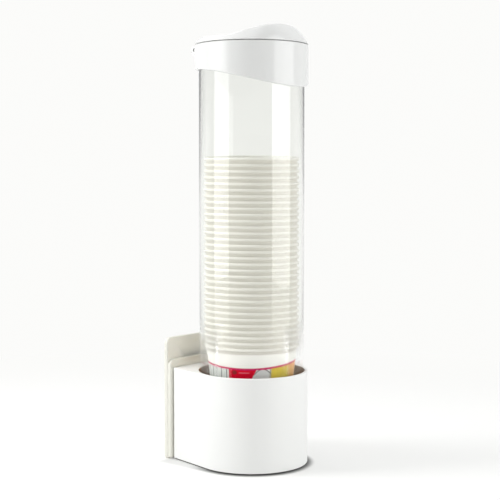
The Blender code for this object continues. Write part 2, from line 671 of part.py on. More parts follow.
def make_collar(material):
    """Ring on top of the tube, with a lip, a slanted edge and two hinge ears."""
    bore = TUBE_RADIUS + GAP
    lip = TUBE_RADIUS - TUBE_WALL
    lip_bottom = TUBE_TOP + COLLAR_LIP_GAP
    lip_top = lip_bottom + COLLAR_LIP_HEIGHT
    edge = COLLAR_EDGE
    profile = [(COLLAR_RADIUS, edge), (COLLAR_RADIUS - edge, 0), (bore, 0), (bore, lip_bottom),
               (lip, lip_bottom), (lip, lip_top), (bore, lip_top), (bore, COLLAR_TOP),
               (COLLAR_RADIUS - HALF * edge, COLLAR_TOP), (COLLAR_RADIUS, COLLAR_TOP - HALF * edge)]
    collar = lathe("lid_collar", profile, material=material)
    for vert in collar.data.vertices:
        if vert.co.z < lip_bottom - edge:
            vert.co.z += collar_bottom(vert.co.y)
    foot = COLLAR_TOP - EAR_FOOT_DROP
    wall_y = HALF * (COLLAR_RADIUS + bore)
    outline = [(wall_y, foot), (COLLAR_RADIUS, foot)]
    for step in range(HINGE_SIDES // 2 + 2):
        angle = -math.pi / 4 + math.tau * step / HINGE_SIDES
        outline.append((HINGE_Y + HINGE_EYE_RADIUS * math.cos(angle),
                        HINGE_Z + HINGE_EYE_RADIUS * math.sin(angle)))
    outline.append((COLLAR_RADIUS + GAP, COLLAR_TOP - GAP))
    outline.append((wall_y, COLLAR_TOP - edge))
    inner = KNUCKLE_HALF_WIDTH + HINGE_SIDE_GAP
    weld(collar, slab("weld_hinge_ear_1", outline, -HINGE_HALF_WIDTH, -inner, "X"))
    weld(collar, slab("weld_hinge_ear_2", outline, inner, HINGE_HALF_WIDTH, "X"))
    cut(collar, hinge_rod("cut_ear_bore", HINGE_PIN_RADIUS + PIN_GAP,
                          HINGE_HALF_WIDTH + OVERRUN))
    return collar


def hinge_rod(name, radius, half_length, material=None):
    ends = [((-half_length, HINGE_Y, HINGE_Z), (half_length, HINGE_Y, HINGE_Z))]
    return rods(name, radius, ends, HINGE_SIDES, material)


def lid_sweep(y):
    """Height of the sweep that rises from the plateau to the front."""
    share = min(max((-y - LID_SWEEP_START) / (LID_SWEEP_END - LID_SWEEP_START), 0), 1)
    return LID_PLATEAU + (LID_PEAK - LID_PLATEAU) * share * share * (3 - 2 * share)


def lid_shoulder(radius):
    """Height of the shoulder that rises from the rim all round."""
    inset = min(max((LID_RADIUS - radius) / LID_SHOULDER_REACH, 0), 1)
    return LID_SHOULDER_HEIGHT * (1 - (1 - inset) ** LID_SHOULDER_ROUND) ** (1 / LID_SHOULDER_RISE)


def lid_top(x, y):
    """Lower of the shoulder and the sweep, with a rounded edge between them."""
    shoulder = lid_shoulder(math.hypot(x, y))
    sweep = lid_sweep(y)
    mix = min(max(HALF + HALF * (shoulder - sweep) / LID_BLEND, 0), 1)
    height = shoulder * (1 - mix) + sweep * mix - LID_BLEND * mix * (1 - mix)
    return max(COLLAR_TOP + height, LID_BOTTOM + LID_RIM_EDGE)


def crest_radius(angle):
    """Distance from the axis to the edge where the shoulder meets the sweep."""
    low, high = 0, LID_RADIUS
    for step in range(CREST_STEPS):
        middle = HALF * (low + high)
        if lid_shoulder(middle) > lid_sweep(middle * math.sin(angle)):
            low = middle
        else:
            high = middle
    return HALF * (low + high)


def make_lid(material):
    """Shell of the flip lid with its locating skirt, tongue and hinge knuckle."""
    skirt = TUBE_RADIUS
    skirt_inside = skirt - LID_SKIRT_WALL
    skirt_bottom = COLLAR_TOP - LID_SKIRT_DEPTH
    angles = [math.tau * step / ROUND_SIDES for step in range(ROUND_SIDES)]
    crests = [crest_radius(angle) for angle in angles]
    rim = [LID_RADIUS] * ROUND_SIDES

    def ring(radii, height):
        points = [(radius * math.cos(angle), radius * math.sin(angle))
                  for angle, radius in zip(angles, radii)]
        return [(x, y, height(x, y)) for x, y in points]

    def between(inner, outer, share):
        return [low + (high - low) * share for low, high in zip(inner, outer)]

    def roof(x, y):
        return lid_top(x, y) - LID_WALL

    centre = [0] * ROUND_SIDES
    inside = [min(crest, skirt_inside) for crest in crests]
    rings = [ring(between(centre, crests, share), lid_top) for share in LID_TOP_SHARES]
    rings += [ring(between(crests, rim, share), lid_top) for share in LID_SHOULDER_SHARES]
    for radius, height in ((LID_RADIUS, LID_BOTTOM), (skirt, LID_BOTTOM), (skirt, skirt_bottom),
                           (skirt_inside, skirt_bottom)):
        rings.append([(x, y, height) for x, y, z in ring([radius] * ROUND_SIDES, roof)])
    rings.append(ring([skirt_inside] * ROUND_SIDES, roof))
    rings += [ring(between(centre, inside, share), roof) for share in LID_ROOF_SHARES]
    work = bmesh.new()
    rows = [[work.verts.new(point) for point in row] for row in rings]
    for outer, inner in zip(rows, rows[1:]):
        for i in range(ROUND_SIDES):
            j = (i + 1) % ROUND_SIDES
            work.faces.new((outer[i], outer[j], inner[j], inner[i]))
    for row, height in ((rows[0], lid_top(0, 0)), (rows[-1], roof(0, 0))):
        pole = work.verts.new((0, 0, height))
        for i in range(ROUND_SIDES):
            work.faces.new((row[i], row[(i + 1) % ROUND_SIDES], pole))
    lid = to_object("flip_lid", work, material)
    knuckle = rods("weld_lid_knuckle", HINGE_EYE_RADIUS,
                   [((-KNUCKLE_HALF_WIDTH, HINGE_Y, HINGE_Z),
                     (KNUCKLE_HALF_WIDTH, HINGE_Y, HINGE_Z))], HINGE_SIDES)
    root = skirt + HALF * (LID_RADIUS - skirt)
    tongue_bottom = LID_BOTTOM + GAP
    inside_eye = HALF * HINGE_EYE_RADIUS
    tongue = slab("weld_lid_tongue",
                  [(root, tongue_bottom), (HINGE_Y - HINGE_EYE_RADIUS, tongue_bottom),
                   (HINGE_Y, HINGE_Z), (HINGE_Y + inside_eye, HINGE_Z + inside_eye),
                   (HINGE_Y, HINGE_Z + HINGE_EYE_RADIUS - PIN_GAP),
                   (root, tongue_bottom + TONGUE_THICKNESS)],
                  HINGE_SIDE_GAP - KNUCKLE_HALF_WIDTH, KNUCKLE_HALF_WIDTH - HINGE_SIDE_GAP, "X")
    weld(lid, tongue)
    weld(lid, knuckle)
    cut(lid, hinge_rod("cut_knuckle_bore", HINGE_PIN_RADIUS + PIN_GAP, HINGE_HALF_WIDTH))
    set_origin(lid, (0, HINGE_Y, HINGE_Z))
    return lid


def cup_profile():
    """Half section of a cup, from the middle of its floor round the rim and back."""
    wall_top = CUP_RIM_RADIUS - CUP_BEAD
    bead_round = CUP_BEAD * CUP_BEAD_ROUND_SHARE
    inner_top = wall_top - CUP_WALL
    floor_top = CUP_RECESS + CUP_FLOOR
    floor_radius = CUP_FOOT_RADIUS + CUP_SLOPE * floor_top - CUP_WALL
    skirt = CUP_FOOT_RADIUS - CUP_WALL - CUP_FLOOR
    return [(0, CUP_RECESS), (skirt, CUP_RECESS), (skirt, 0), (CUP_FOOT_RADIUS, 0),
            (wall_top, CUP_UNDER_RIM), (CUP_RIM_RADIUS - bead_round, CUP_UNDER_RIM),
            (CUP_RIM_RADIUS, CUP_HEIGHT - HALF * CUP_BEAD_HEIGHT),
            (CUP_RIM_RADIUS - HALF * CUP_BEAD, CUP_HEIGHT),
            (inner_top, CUP_HEIGHT - bead_round), (floor_radius, floor_top), (0, floor_top)]


def make_cups(material):
    """Nested cups, numbered from the lowest, which share one mesh."""
    lowest = lathe("cup_01", cup_profile(), CUP_SIDES, material)
    lowest.location.z = CUP_FOOT
    for number in range(2, CUP_COUNT + 1):
        cup = bpy.data.objects.new(f"cup_{number:02d}", lowest.data)
        cup.location = (0, AXIS_Y, CUP_FOOT + CUP_PITCH * (number - 1))
        bpy.context.scene.collection.objects.link(cup)


def main():
    clear_scene()
    white = finish("gloss_white", (0.86, 0.86, 0.84), 0.22)
    warm = finish("warm_white", (0.72, 0.7, 0.63), 0.4)
    inner = finish("inner_white", (0.8, 0.8, 0.78), 0.45)
    clear = finish("clear_plastic", (0.92, 0.95, 0.93), 0.05, alpha=0.25)
    steel = finish("steel", (0.6, 0.6, 0.6), 0.3, 1.0)
    paper = finish("paper", (0.9, 0.89, 0.84), 0.7)
    make_housing(white)
    make_tube(clear)
    make_plate(warm)
    make_cover(inner)
    cover_places = [(side * COVER_SCREW_X, COVER_SCREW_Y, COVER_BOTTOM) for side in (-1, 1)]
    make_screws("cover_screw", screw_profile(COVER_SCREW_SHANK, COVER_SCREW_HEAD,
                                              COVER_SCREW_HEAD_HEIGHT, COVER_SCREW_LENGTH),
                cover_places, steel)
    make_carrier(inner)
    radius = carrier_screw_radius()
    head_bottom = CARRIER_UNDERSIDE - CARRIER_SCREW_HEAD_HEIGHT - PIN_GAP
    carrier_places = [(radius * math.cos(turn), radius * math.sin(turn), head_bottom)
                      for turn in screw_turns()]
    shank_length = CARRIER_FLANGE + GAP + CARRIER_SCREW_BITE
    make_screws("carrier_screw", screw_profile(CARRIER_SCREW_SHANK, CARRIER_SCREW_HEAD,
                                                CARRIER_SCREW_HEAD_HEIGHT, shank_length),
                carrier_places, steel)
    for number, turn in enumerate(claw_turns(), 1):
        claw_rods(f"claw_pin_{number}", CLAW_PIN_RADIUS, CLAW_PIN_LENGTH, [turn], steel)
        make_claw(number, turn, inner)
        make_spring(number, turn, steel)
    make_collar(white)
    make_lid(white)
    hinge_rod("hinge_pin", HINGE_PIN_RADIUS, HINGE_HALF_WIDTH - HINGE_PIN_RECESS, steel)
    make_cups(paper)


main()
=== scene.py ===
"""Looks of a wall cup dispenser: its visible pieces, their finishes, the studio and the camera."""

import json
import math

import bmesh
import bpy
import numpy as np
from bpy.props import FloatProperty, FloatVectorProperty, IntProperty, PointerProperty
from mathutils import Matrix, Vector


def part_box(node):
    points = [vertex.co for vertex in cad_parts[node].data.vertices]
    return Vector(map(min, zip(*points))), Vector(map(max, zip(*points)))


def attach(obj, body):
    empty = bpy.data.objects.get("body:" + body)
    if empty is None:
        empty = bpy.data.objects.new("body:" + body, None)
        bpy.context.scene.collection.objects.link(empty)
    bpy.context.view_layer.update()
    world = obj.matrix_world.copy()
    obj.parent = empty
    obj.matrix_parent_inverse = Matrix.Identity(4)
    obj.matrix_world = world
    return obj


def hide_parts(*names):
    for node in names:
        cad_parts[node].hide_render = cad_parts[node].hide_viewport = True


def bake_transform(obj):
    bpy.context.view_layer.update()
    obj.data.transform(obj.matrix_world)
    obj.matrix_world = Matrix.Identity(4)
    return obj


bl_info = {
    "name": "Cup Dispenser",
    "version": (1, 0, 0),
    "blender": (4, 5, 0),
    "location": "View3D > Sidebar > Cup Dispenser",
    "description": "Builds the visible pieces, finishes and studio of a wall cup dispenser",
    "category": "Add Mesh",
}

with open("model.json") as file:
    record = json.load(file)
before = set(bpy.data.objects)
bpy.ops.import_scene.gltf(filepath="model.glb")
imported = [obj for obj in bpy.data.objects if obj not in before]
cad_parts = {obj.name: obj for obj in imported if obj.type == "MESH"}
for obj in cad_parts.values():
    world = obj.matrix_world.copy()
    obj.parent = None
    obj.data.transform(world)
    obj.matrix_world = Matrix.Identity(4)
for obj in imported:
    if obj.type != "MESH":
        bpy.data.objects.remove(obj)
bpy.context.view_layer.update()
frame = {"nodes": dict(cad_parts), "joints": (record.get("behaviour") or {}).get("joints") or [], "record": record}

TAU = math.tau


def span(node):
    """Lowest and highest corner of a node as arrays."""
    return tuple(np.array(corner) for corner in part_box(node))


def joint(name):
    """The record's entry of a joint."""
    return next(entry for entry in frame["joints"] if entry["name"] == name)


def body_of(node):
    """Name of the body that carries a node."""
    bodies = frame["record"]["behaviour"]["bodies"]
    return next(name for name, nodes in bodies.items() if node in nodes)


TUBE_LOW, TUBE_HIGH = span("clear_tube")
AXIS = (TUBE_LOW + TUBE_HIGH)[:2] / 2
TUBE_RADIUS = (TUBE_HIGH[0] - TUBE_LOW[0]) / 2
HOUSING_LOW, HOUSING_HIGH = span("base_housing")
HOUSING_RADIUS = (HOUSING_HIGH[0] - HOUSING_LOW[0]) / 2
COLLAR_LOW, COLLAR_HIGH = span("lid_collar")
COLLAR_RADIUS = (COLLAR_HIGH[0] - COLLAR_LOW[0]) / 2
HINGE = np.array(joint("lid_hinge")["pos_m"])
LID_SEAM = HINGE[2] + 0.0013  # height of the parting line between collar and lid
PLATE_HIGH = span("wall_plate")[1]
CUP_LOW, CUP_HIGH = span("cup_01")
CUP_NODES = sorted(name for name in frame["nodes"] if name.startswith("cup_"))
CLAW_JOINTS = [entry for entry in frame["joints"] if entry["name"].startswith("claw_")]

FIT = 0.0003  # room between pieces that fit into each other
FINE_EDGE = 0.0003  # radius of the edges of small features
TUBE_WALL = 0.0015  # thickness
ROUND_SIDES = 192  # faces round the tube, the collar and the lid
HINGE_HOLE = 0.00135  # radius
HOOK_ROWS = (0.016, 0.050)  # heights of the hooks' lower edges
HOOK_SIDE = 0.018  # from the middle to each column of hooks
SCREW_HOLES = (0.033, 0.068)  # heights of the wall plate's holes
# edges that bend by more degrees are shaded sharp
MOULDED_SHARP, PLATE_SHARP, SCREW_SHARP, THIN_SHARP = 38.0, 8.0, 50.0, 60.0


def metres(name, description, default):
    """Property that holds a length."""
    return FloatProperty(name=name, description=description, default=default, unit="LENGTH")


def degrees(name, description, default):
    """Property that holds an angle, whose default is given in degrees."""
    return FloatProperty(name=name, description=description, default=math.radians(default), subtype="ANGLE")


def rgb(name, description, default):
    """Property that holds a colour."""
    return FloatVectorProperty(name=name, description=description, size=3, default=default, subtype="COLOR")


def amount(name, description, default, subtype="NONE"):
    """Property that holds a plain number."""
    return FloatProperty(name=name, description=description, default=default, subtype=subtype)


class HousingSizes(bpy.types.PropertyGroup):
    """Sizes of the base housing."""

    taper: degrees("Taper", "How far the side walls turn inwards to the back", 12)
    wall: metres("Wall", "Thickness of the outer wall and the roof", 0.0022)
    corner: metres("Corner", "Radius of the upright corners at the back", 0.001)
    edge: metres("Edge", "Radius of the upper edge", 0.0008)
    undercut: metres("Undercut", "Depth and height of the step round the foot", 0.0010)
    throat: metres("Throat", "Radius of the round throat", 0.0425)
    throat_wall: metres("Throat Wall", "Thickness of the throat's wall", 0.002)
    ledge: metres("Ledge", "Inner radius of the ledge under the tube", 0.0392)
    ledge_height: metres("Ledge Height", "Height of the ledge", 0.005)


class TopSizes(bpy.types.PropertyGroup):
    """Sizes of the collar and the flip lid."""

    slant: amount("Slant", "Rise of the collar's lower edge towards the back", 0.169)
    slant_middle: metres("Slant Middle", "Height of the lower edge at the axis", 0.3101)
    bow: metres("Bow", "Radius that the lower edge bows with", 0.24)
    foot_round: metres("Foot Rounding", "Radius of the collar's lower edge", 0.0019)
    seam_round: metres("Seam Rounding", "Radius of the edges at the parting line", 0.0004)
    plateau: metres("Plateau", "Height of the lid's back", 0.00484)
    peak: metres("Peak", "Height that the sweep reaches at the front", 0.0175)
    sweep_start: metres("Sweep Start", "Where the sweep starts, before the axis", 0.00856)
    sweep_end: metres("Sweep End", "Where the sweep ends, before the axis", 0.0439)
    shoulder: metres("Shoulder", "Height that the shoulder would reach", 0.02223)
    shoulder_reach: metres("Shoulder Reach", "Width of the shoulder", 0.0295)
    blend: metres("Blend", "Softness of the crest between shoulder and sweep", 0.0012)
    lid_wall: metres("Lid Wall", "Thickness of the lid", 0.0019)
    eye: metres("Hinge Eye", "Radius of the hinge's eyes", 0.003)


class PlateSizes(bpy.types.PropertyGroup):
    """Sizes of the wall plate."""

    thickness: metres("Thickness", "Thickness of the plate", 0.0038)
    block: metres("Block", "How far the hanger block stands out", 0.003)
    block_half_width: metres("Block Half Width", "Half width of the block", 0.0368)
    block_height: metres("Block Height", "Height of the block", 0.0817)
    corner: metres("Corner", "Radius of the upper corners", 0.0055)
    foot_corner: metres("Foot Corner", "Radius of the lower corners", 0.0018)
    edge: metres("Edge", "Radius of the front edges", 0.0008)


class CupSizes(bpy.types.PropertyGroup):
    """Sizes of the paper cups."""

    bead: metres("Bead", "Radius of the rolled rim", 0.00138)
    foot: metres("Foot", "Outer radius of the foot", 0.0262)
    paper: metres("Paper", "Thickness of the paper", 0.00026)
    recess: metres("Recess", "Height of the floor over the foot", 0.004)
    print_top: metres("Print Top", "Height of the print's upper line over the foot", 0.0737)
    sides: IntProperty(name="Sides", description="Faces round a cup", default=96)


class Finishes(bpy.types.PropertyGroup):
    """Colours of the dispenser and its cups."""

    shell: rgb("Shell", "Satin white plastic of the base", (0.86, 0.865, 0.85))
    gloss: rgb("Gloss", "Gloss white plastic of collar and lid", (0.765, 0.77, 0.76))
    plate: rgb("Plate", "Warm grey plastic of the wall plate", (0.77, 0.76, 0.69))
    inside: rgb("Inside", "Plastic of the mechanism", (0.78, 0.78, 0.76))
    clear: rgb("Clear", "Tint of the clear tube", (0.955, 0.96, 0.945))
    paper: rgb("Paper", "Coated paper", (0.95, 0.945, 0.885))
    red: rgb("Red", "Red of the print", (0.80, 0.004, 0.03))
    line: rgb("Line", "Line over the print", (0.62, 0.02, 0.12))
    yellow: rgb("Yellow", "Yellow of the print", (0.86, 0.68, 0.08))
    orange: rgb("Orange", "Orange of the print", (0.88, 0.42, 0.07))
    ink: rgb("Ink", "Grey strokes of the print", (0.16, 0.17, 0.17))
    steel: rgb("Steel", "Pins, screws and springs", (0.62, 0.62, 0.61))


class Studio(bpy.types.PropertyGroup):
    """Lights, floor and camera."""

    left_panel: amount("Left Panel", "Brightness of the panel mirrored at left", 1.7)
    right_panel: amount("Right Panel", "Brightness of the panel mirrored at right", 1.8)
    left_side: amount("Left Side", "Brightness of the soft light at the left", 4.4)
    right_side: amount("Right Side", "Brightness of the soft light at the right", 1.8)
    front: amount("Front", "Brightness of the soft light over the camera", 1.95)
    top: amount("Top", "Brightness of the light overhead", 1.08)
    ambient: amount("Ambient", "Brightness of the room", 0.52)
    dark_front: amount("Dark Front", "How much darker the room is beside the camera", 0.45, "FACTOR")
    backdrop: rgb("Backdrop", "Colour behind the object", (0.97, 0.97, 0.955))
    floor_glow: amount("Floor Glow", "White added to the floor as it is seen", 0.12, "FACTOR")
    # width of the contact shadow painted into the floor's colour round the base
    painted_contact_shadow: metres("Contact", "Width of the dark shade round the base's foot", 0.007)
    floor_near: metres("Floor Near", "Distance up to which the floor is shaded", 0.12)
    floor_far: metres("Floor Far", "Distance from which the floor is all white", 0.6)
    lens: amount("Lens", "Focal length", 84.95)
    distance: metres("Distance", "From the camera to the tube's axis", 0.94)
    height: metres("Height", "Height of the camera", 0.2352)
    azimuth: degrees("Azimuth", "Turn of the camera round the tube", -50)
    pitch: degrees("Pitch", "Tilt of the camera downwards", 3.9)


class Settings(bpy.types.PropertyGroup):
    """All settings of the dispenser."""

    housing: PointerProperty(type=HousingSizes)
    top: PointerProperty(type=TopSizes)
    plate: PointerProperty(type=PlateSizes)
    cup: PointerProperty(type=CupSizes)
    finish: PointerProperty(type=Finishes)
    studio: PointerProperty(type=Studio)


def settings():
    """The dispenser's settings in the current scene."""
    return bpy.context.scene.cup_dispenser


def forward(operation):
    """A method that adds a Math node with its own socket as the first value."""
    return lambda self, other: self.paint.math(operation, self, other)


def reflected(operation):
    """A method that adds a Math node with its own socket as the second value."""
    return lambda self, other: self.paint.math(operation, other, self)


class Value:
    """A shader socket that Python's arithmetic works on, by adding Math nodes."""

    def __init__(self, paint, socket):
        self.paint = paint
        self.socket = socket

    __add__, __radd__ = forward("ADD"), reflected("ADD")
    __sub__, __rsub__ = forward("SUBTRACT"), reflected("SUBTRACT")
    __mul__, __rmul__ = forward("MULTIPLY"), reflected("MULTIPLY")
    __truediv__, __mod__ = forward("DIVIDE"), forward("FLOORED_MODULO")


class Paint:
    """A material, or a world, whose nodes are added by expressions."""

    def __init__(self, owner):
        owner.use_nodes = True
        self.owner = owner
        self.tree = owner.node_tree
        nodes = {node.type: node for node in self.tree.nodes}
        self.shader = nodes.get("BSDF_PRINCIPLED") or nodes["BACKGROUND"]
        self.output = nodes.get("OUTPUT_MATERIAL")

    def node(self, kind, options=None, values=None):
        """Adds a node, sets its options, then its sockets' values or links."""
        node = self.tree.nodes.new(kind)
        for key, option in (options or {}).items():
            setattr(node, key, option)
        self.feed(node, values or {})
        return node

    def feed(self, node, values):
        """Links or sets sockets of a node by name or number."""
        for key, value in values.items():
            if isinstance(value, Value):
                self.tree.links.new(value.socket, node.inputs[key])
            else:
                node.inputs[key].default_value = value

    def value(self, kind, values=None, options=None, output=0):
        """An output of a new node."""
        return Value(self, self.node(kind, options, values).outputs[output])

    def math(self, operation, *values):
        """Result of a Math node."""
        return self.value("ShaderNodeMath", dict(enumerate(values)), {"operation": operation})

    def place(self, source="Object"):
        """Coordinates on the piece."""
        return self.value("ShaderNodeTexCoord", output=source)

    def stretch(self, vector, along):
        """Coordinates whose upright part is scaled."""
        return self.value("ShaderNodeMapping", {"Vector": vector, "Scale": (1.0, 1.0, along)})

    def split(self, vector):
        """The three parts of a vector."""
        node = self.node("ShaderNodeSeparateXYZ", None, {0: vector})
        return [Value(self, output) for output in node.outputs]

    def noise(self, vector, scale, detail=2.0, roughness=0.5):
        """Soft noise from 0 to 1."""
        return self.value("ShaderNodeTexNoise", {"Vector": vector, "Scale": scale, "Detail": detail,
                                                 "Roughness": roughness})

    def grains(self, vector, scale):
        """Distance to the nearest of scattered points, from 0 to 1."""
        return self.value("ShaderNodeTexVoronoi", {"Vector": vector, "Scale": scale}, output="Distance")

    def rise(self, value, low, high, start=0.0, end=1.0):
        """Rises smoothly from start to end as the value goes from low to high."""
        return self.value("ShaderNodeMapRange", {0: value, 1: low, 2: high, 3: start, 4: end},
                          {"interpolation_type": "SMOOTHSTEP"})

    def fall(self, value, low, high):
        """Falls smoothly from 1 to 0 as the value goes from low to high."""
        return 1 - self.rise(value, low, high)

    def band(self, value, low, high, soft):
        """1 between low and high, 0 outside, with soft edges."""
        return self.rise(value, low - soft, low + soft) * self.fall(value, high - soft, high + soft)

    def mix(self, share, first, second):
        """Colour between two colours."""
        first = first if isinstance(first, Value) else (*first, 1)
        second = second if isinstance(second, Value) else (*second, 1)
        return self.value("ShaderNodeMix", {0: share, 6: first, 7: second}, {"data_type": "RGBA"}, 2)

    def bump(self, height, strength, distance):
        """Normal bent by a height that is scaled by the strength and the distance."""
        return self.value("ShaderNodeBump", {"Strength": strength, "Distance": distance,
                                             "Height": height})

    def ray(self, kind):
        """1 for rays of a kind, 0 for others."""
        return self.value("ShaderNodeLightPath", output=f"Is {kind} Ray")

    def seen(self):
        """1 where a ray comes from the camera or through the clear tube, 0 for other rays."""
        return self.math("MAXIMUM", self.ray("Camera"), self.ray("Transmission"))

    def cover(self, share, shader):
        """Lays another shader over the surface shader, by its share."""
        blend = self.node("ShaderNodeMixShader", None, {0: share})
        self.tree.links.new(self.shader.outputs[0], blend.inputs[1])
        self.tree.links.new(shader.outputs[0], blend.inputs[2])
        self.tree.links.new(blend.outputs[0], self.output.inputs[0])
        self.shader = blend

    def through(self, share):
        """Makes the surface let light straight through, by a share."""
        self.cover(share, self.node("ShaderNodeBsdfTransparent", None, {0: (1, 1, 1, 1)}))

    def finish(self, **sockets):
        """Feeds the surface shader; underscores in the names stand for spaces."""
        self.feed(self.shader, {key.replace("_", " "): value for key, value in sockets.items()})
        return self.owner


def coat(name):
    """A new material's paint, and the coordinates on the piece."""
    paint = Paint(bpy.data.materials.new(name))
    return paint, paint.place()


def shade(colour, factor):
    """A colour times a factor, in plain numbers."""
    return tuple(min(part * factor, 1.0) for part in colour)


def moulded(name, colour, roughness, grain, depth, index, throat=None):
    """Moulded plastic: faint clouds in the colour and gloss, and a fine skin.

    Inside a throat of the given radius the colour is painted dark as shade, and the step round the foot as a
    shadow gap.
    """
    tone = 0.012
    paint, place = coat(name)
    cloud = paint.noise(place, 22.0, 3.0)
    streak = paint.noise(paint.stretch(place, 0.12), 160.0, 2.0)
    skin = paint.noise(place, grain, 2.0)
    tint = paint.mix(cloud * 0.7 + streak * 0.3, shade(colour, 1 - tone), shade(colour, 1 + tone))
    gloss = roughness + (cloud - 0.5) * 0.05 + (skin - 0.5) * 0.04
    if throat:
        painted_throat_shade, painted_foot_shadow = (0.25, 0.16, 0.11), (0.06, 0.06, 0.055)
        x, y, up = paint.split(place)
        x, y = x - float(AXIS[0]), y - float(AXIS[1])
        inside = paint.fall(paint.math("SQRT", x * x + y * y), throat + 0.0003, throat + 0.0008)
        rim = float(HOUSING_HIGH[2])
        inside = inside * paint.fall(up, rim - 0.0006, rim - 0.0001)
        # painted shade: the throat's inner wall below the rim turns dark brown-grey, standing in for the shade
        # between cup and base
        tint = paint.mix(inside * 0.92, tint, painted_throat_shade)
        # painted shadow: the step round the foot turns near black, standing in for the shadow gap under the base
        step = settings().housing.undercut
        tint = paint.mix(paint.fall(up, step - 0.0002, step - 0.0001), tint, painted_foot_shadow)
    return paint.finish(Base_Color=tint, Roughness=gloss, IOR=index, Normal=paint.bump(skin, 0.25, depth))


def textured(name, colour, roughness):
    """Satin plastic with the fine grain of an eroded mould."""
    paint, place = coat(name)
    grain = paint.grains(place, 1500.0)
    cloud = paint.noise(place, 30.0, 3.0)
    tint = paint.mix(cloud * 0.75 + grain * 0.25, shade(colour, 0.97), shade(colour, 1.03))
    gloss = roughness + (grain - 0.4) * 0.1
    return paint.finish(Base_Color=tint, Roughness=gloss, Normal=paint.bump(grain, 0.3, 0.00003))


def brushed(name, colour):
    """Drawn and plated steel with fine lengthwise marks."""
    paint, place = coat(name)
    marks = paint.noise(paint.stretch(place, 0.2), 3000.0, 3.0)
    cloud = paint.noise(place, 250.0, 2.0)
    tint = paint.mix(cloud, shade(colour, 0.9), shade(colour, 1.06))
    gloss = 0.24 + marks * 0.16
    return paint.finish(Base_Color=tint, Roughness=gloss, Metallic=1.0,
                        Normal=paint.bump(marks, 0.15, 0.00002))


def clear_plastic(name, tint):
    """Clear tube: refracts what is seen, and lets shadow and bounce light straight through.

    Below a height over the base, and down to a lower one, it turns almost free of gloss.
    """
    base = float(HOUSING_HIGH[2])
    gloss_free, glossy = base + 0.011, base + 0.045
    paint, place = coat(name)
    draw = paint.noise(paint.stretch(place, 0.03), 60.0, 2.0)
    up = paint.split(place)[2]
    lower = paint.rise(up, COLLAR_LOW[2], COLLAR_LOW[2] - 0.08)
    tint = paint.mix(lower, tint, shade(tint, 1.02))
    colour = paint.mix(draw * 0.08, tint, (0.8, 0.82, 0.8))
    gloss = 0.015 + draw * 0.015
    paint.finish(Base_Color=colour, Roughness=gloss, IOR=1.49, Transmission_Weight=1.0,
                 Normal=paint.bump(draw, 0.04, 0.0001))
    through = paint.math("MAXIMUM", paint.ray("Shadow"), paint.ray("Diffuse"))
    paint.through(paint.math("MAXIMUM", through, paint.rise(up, glossy, gloss_free) * 0.9))
    return paint.owner


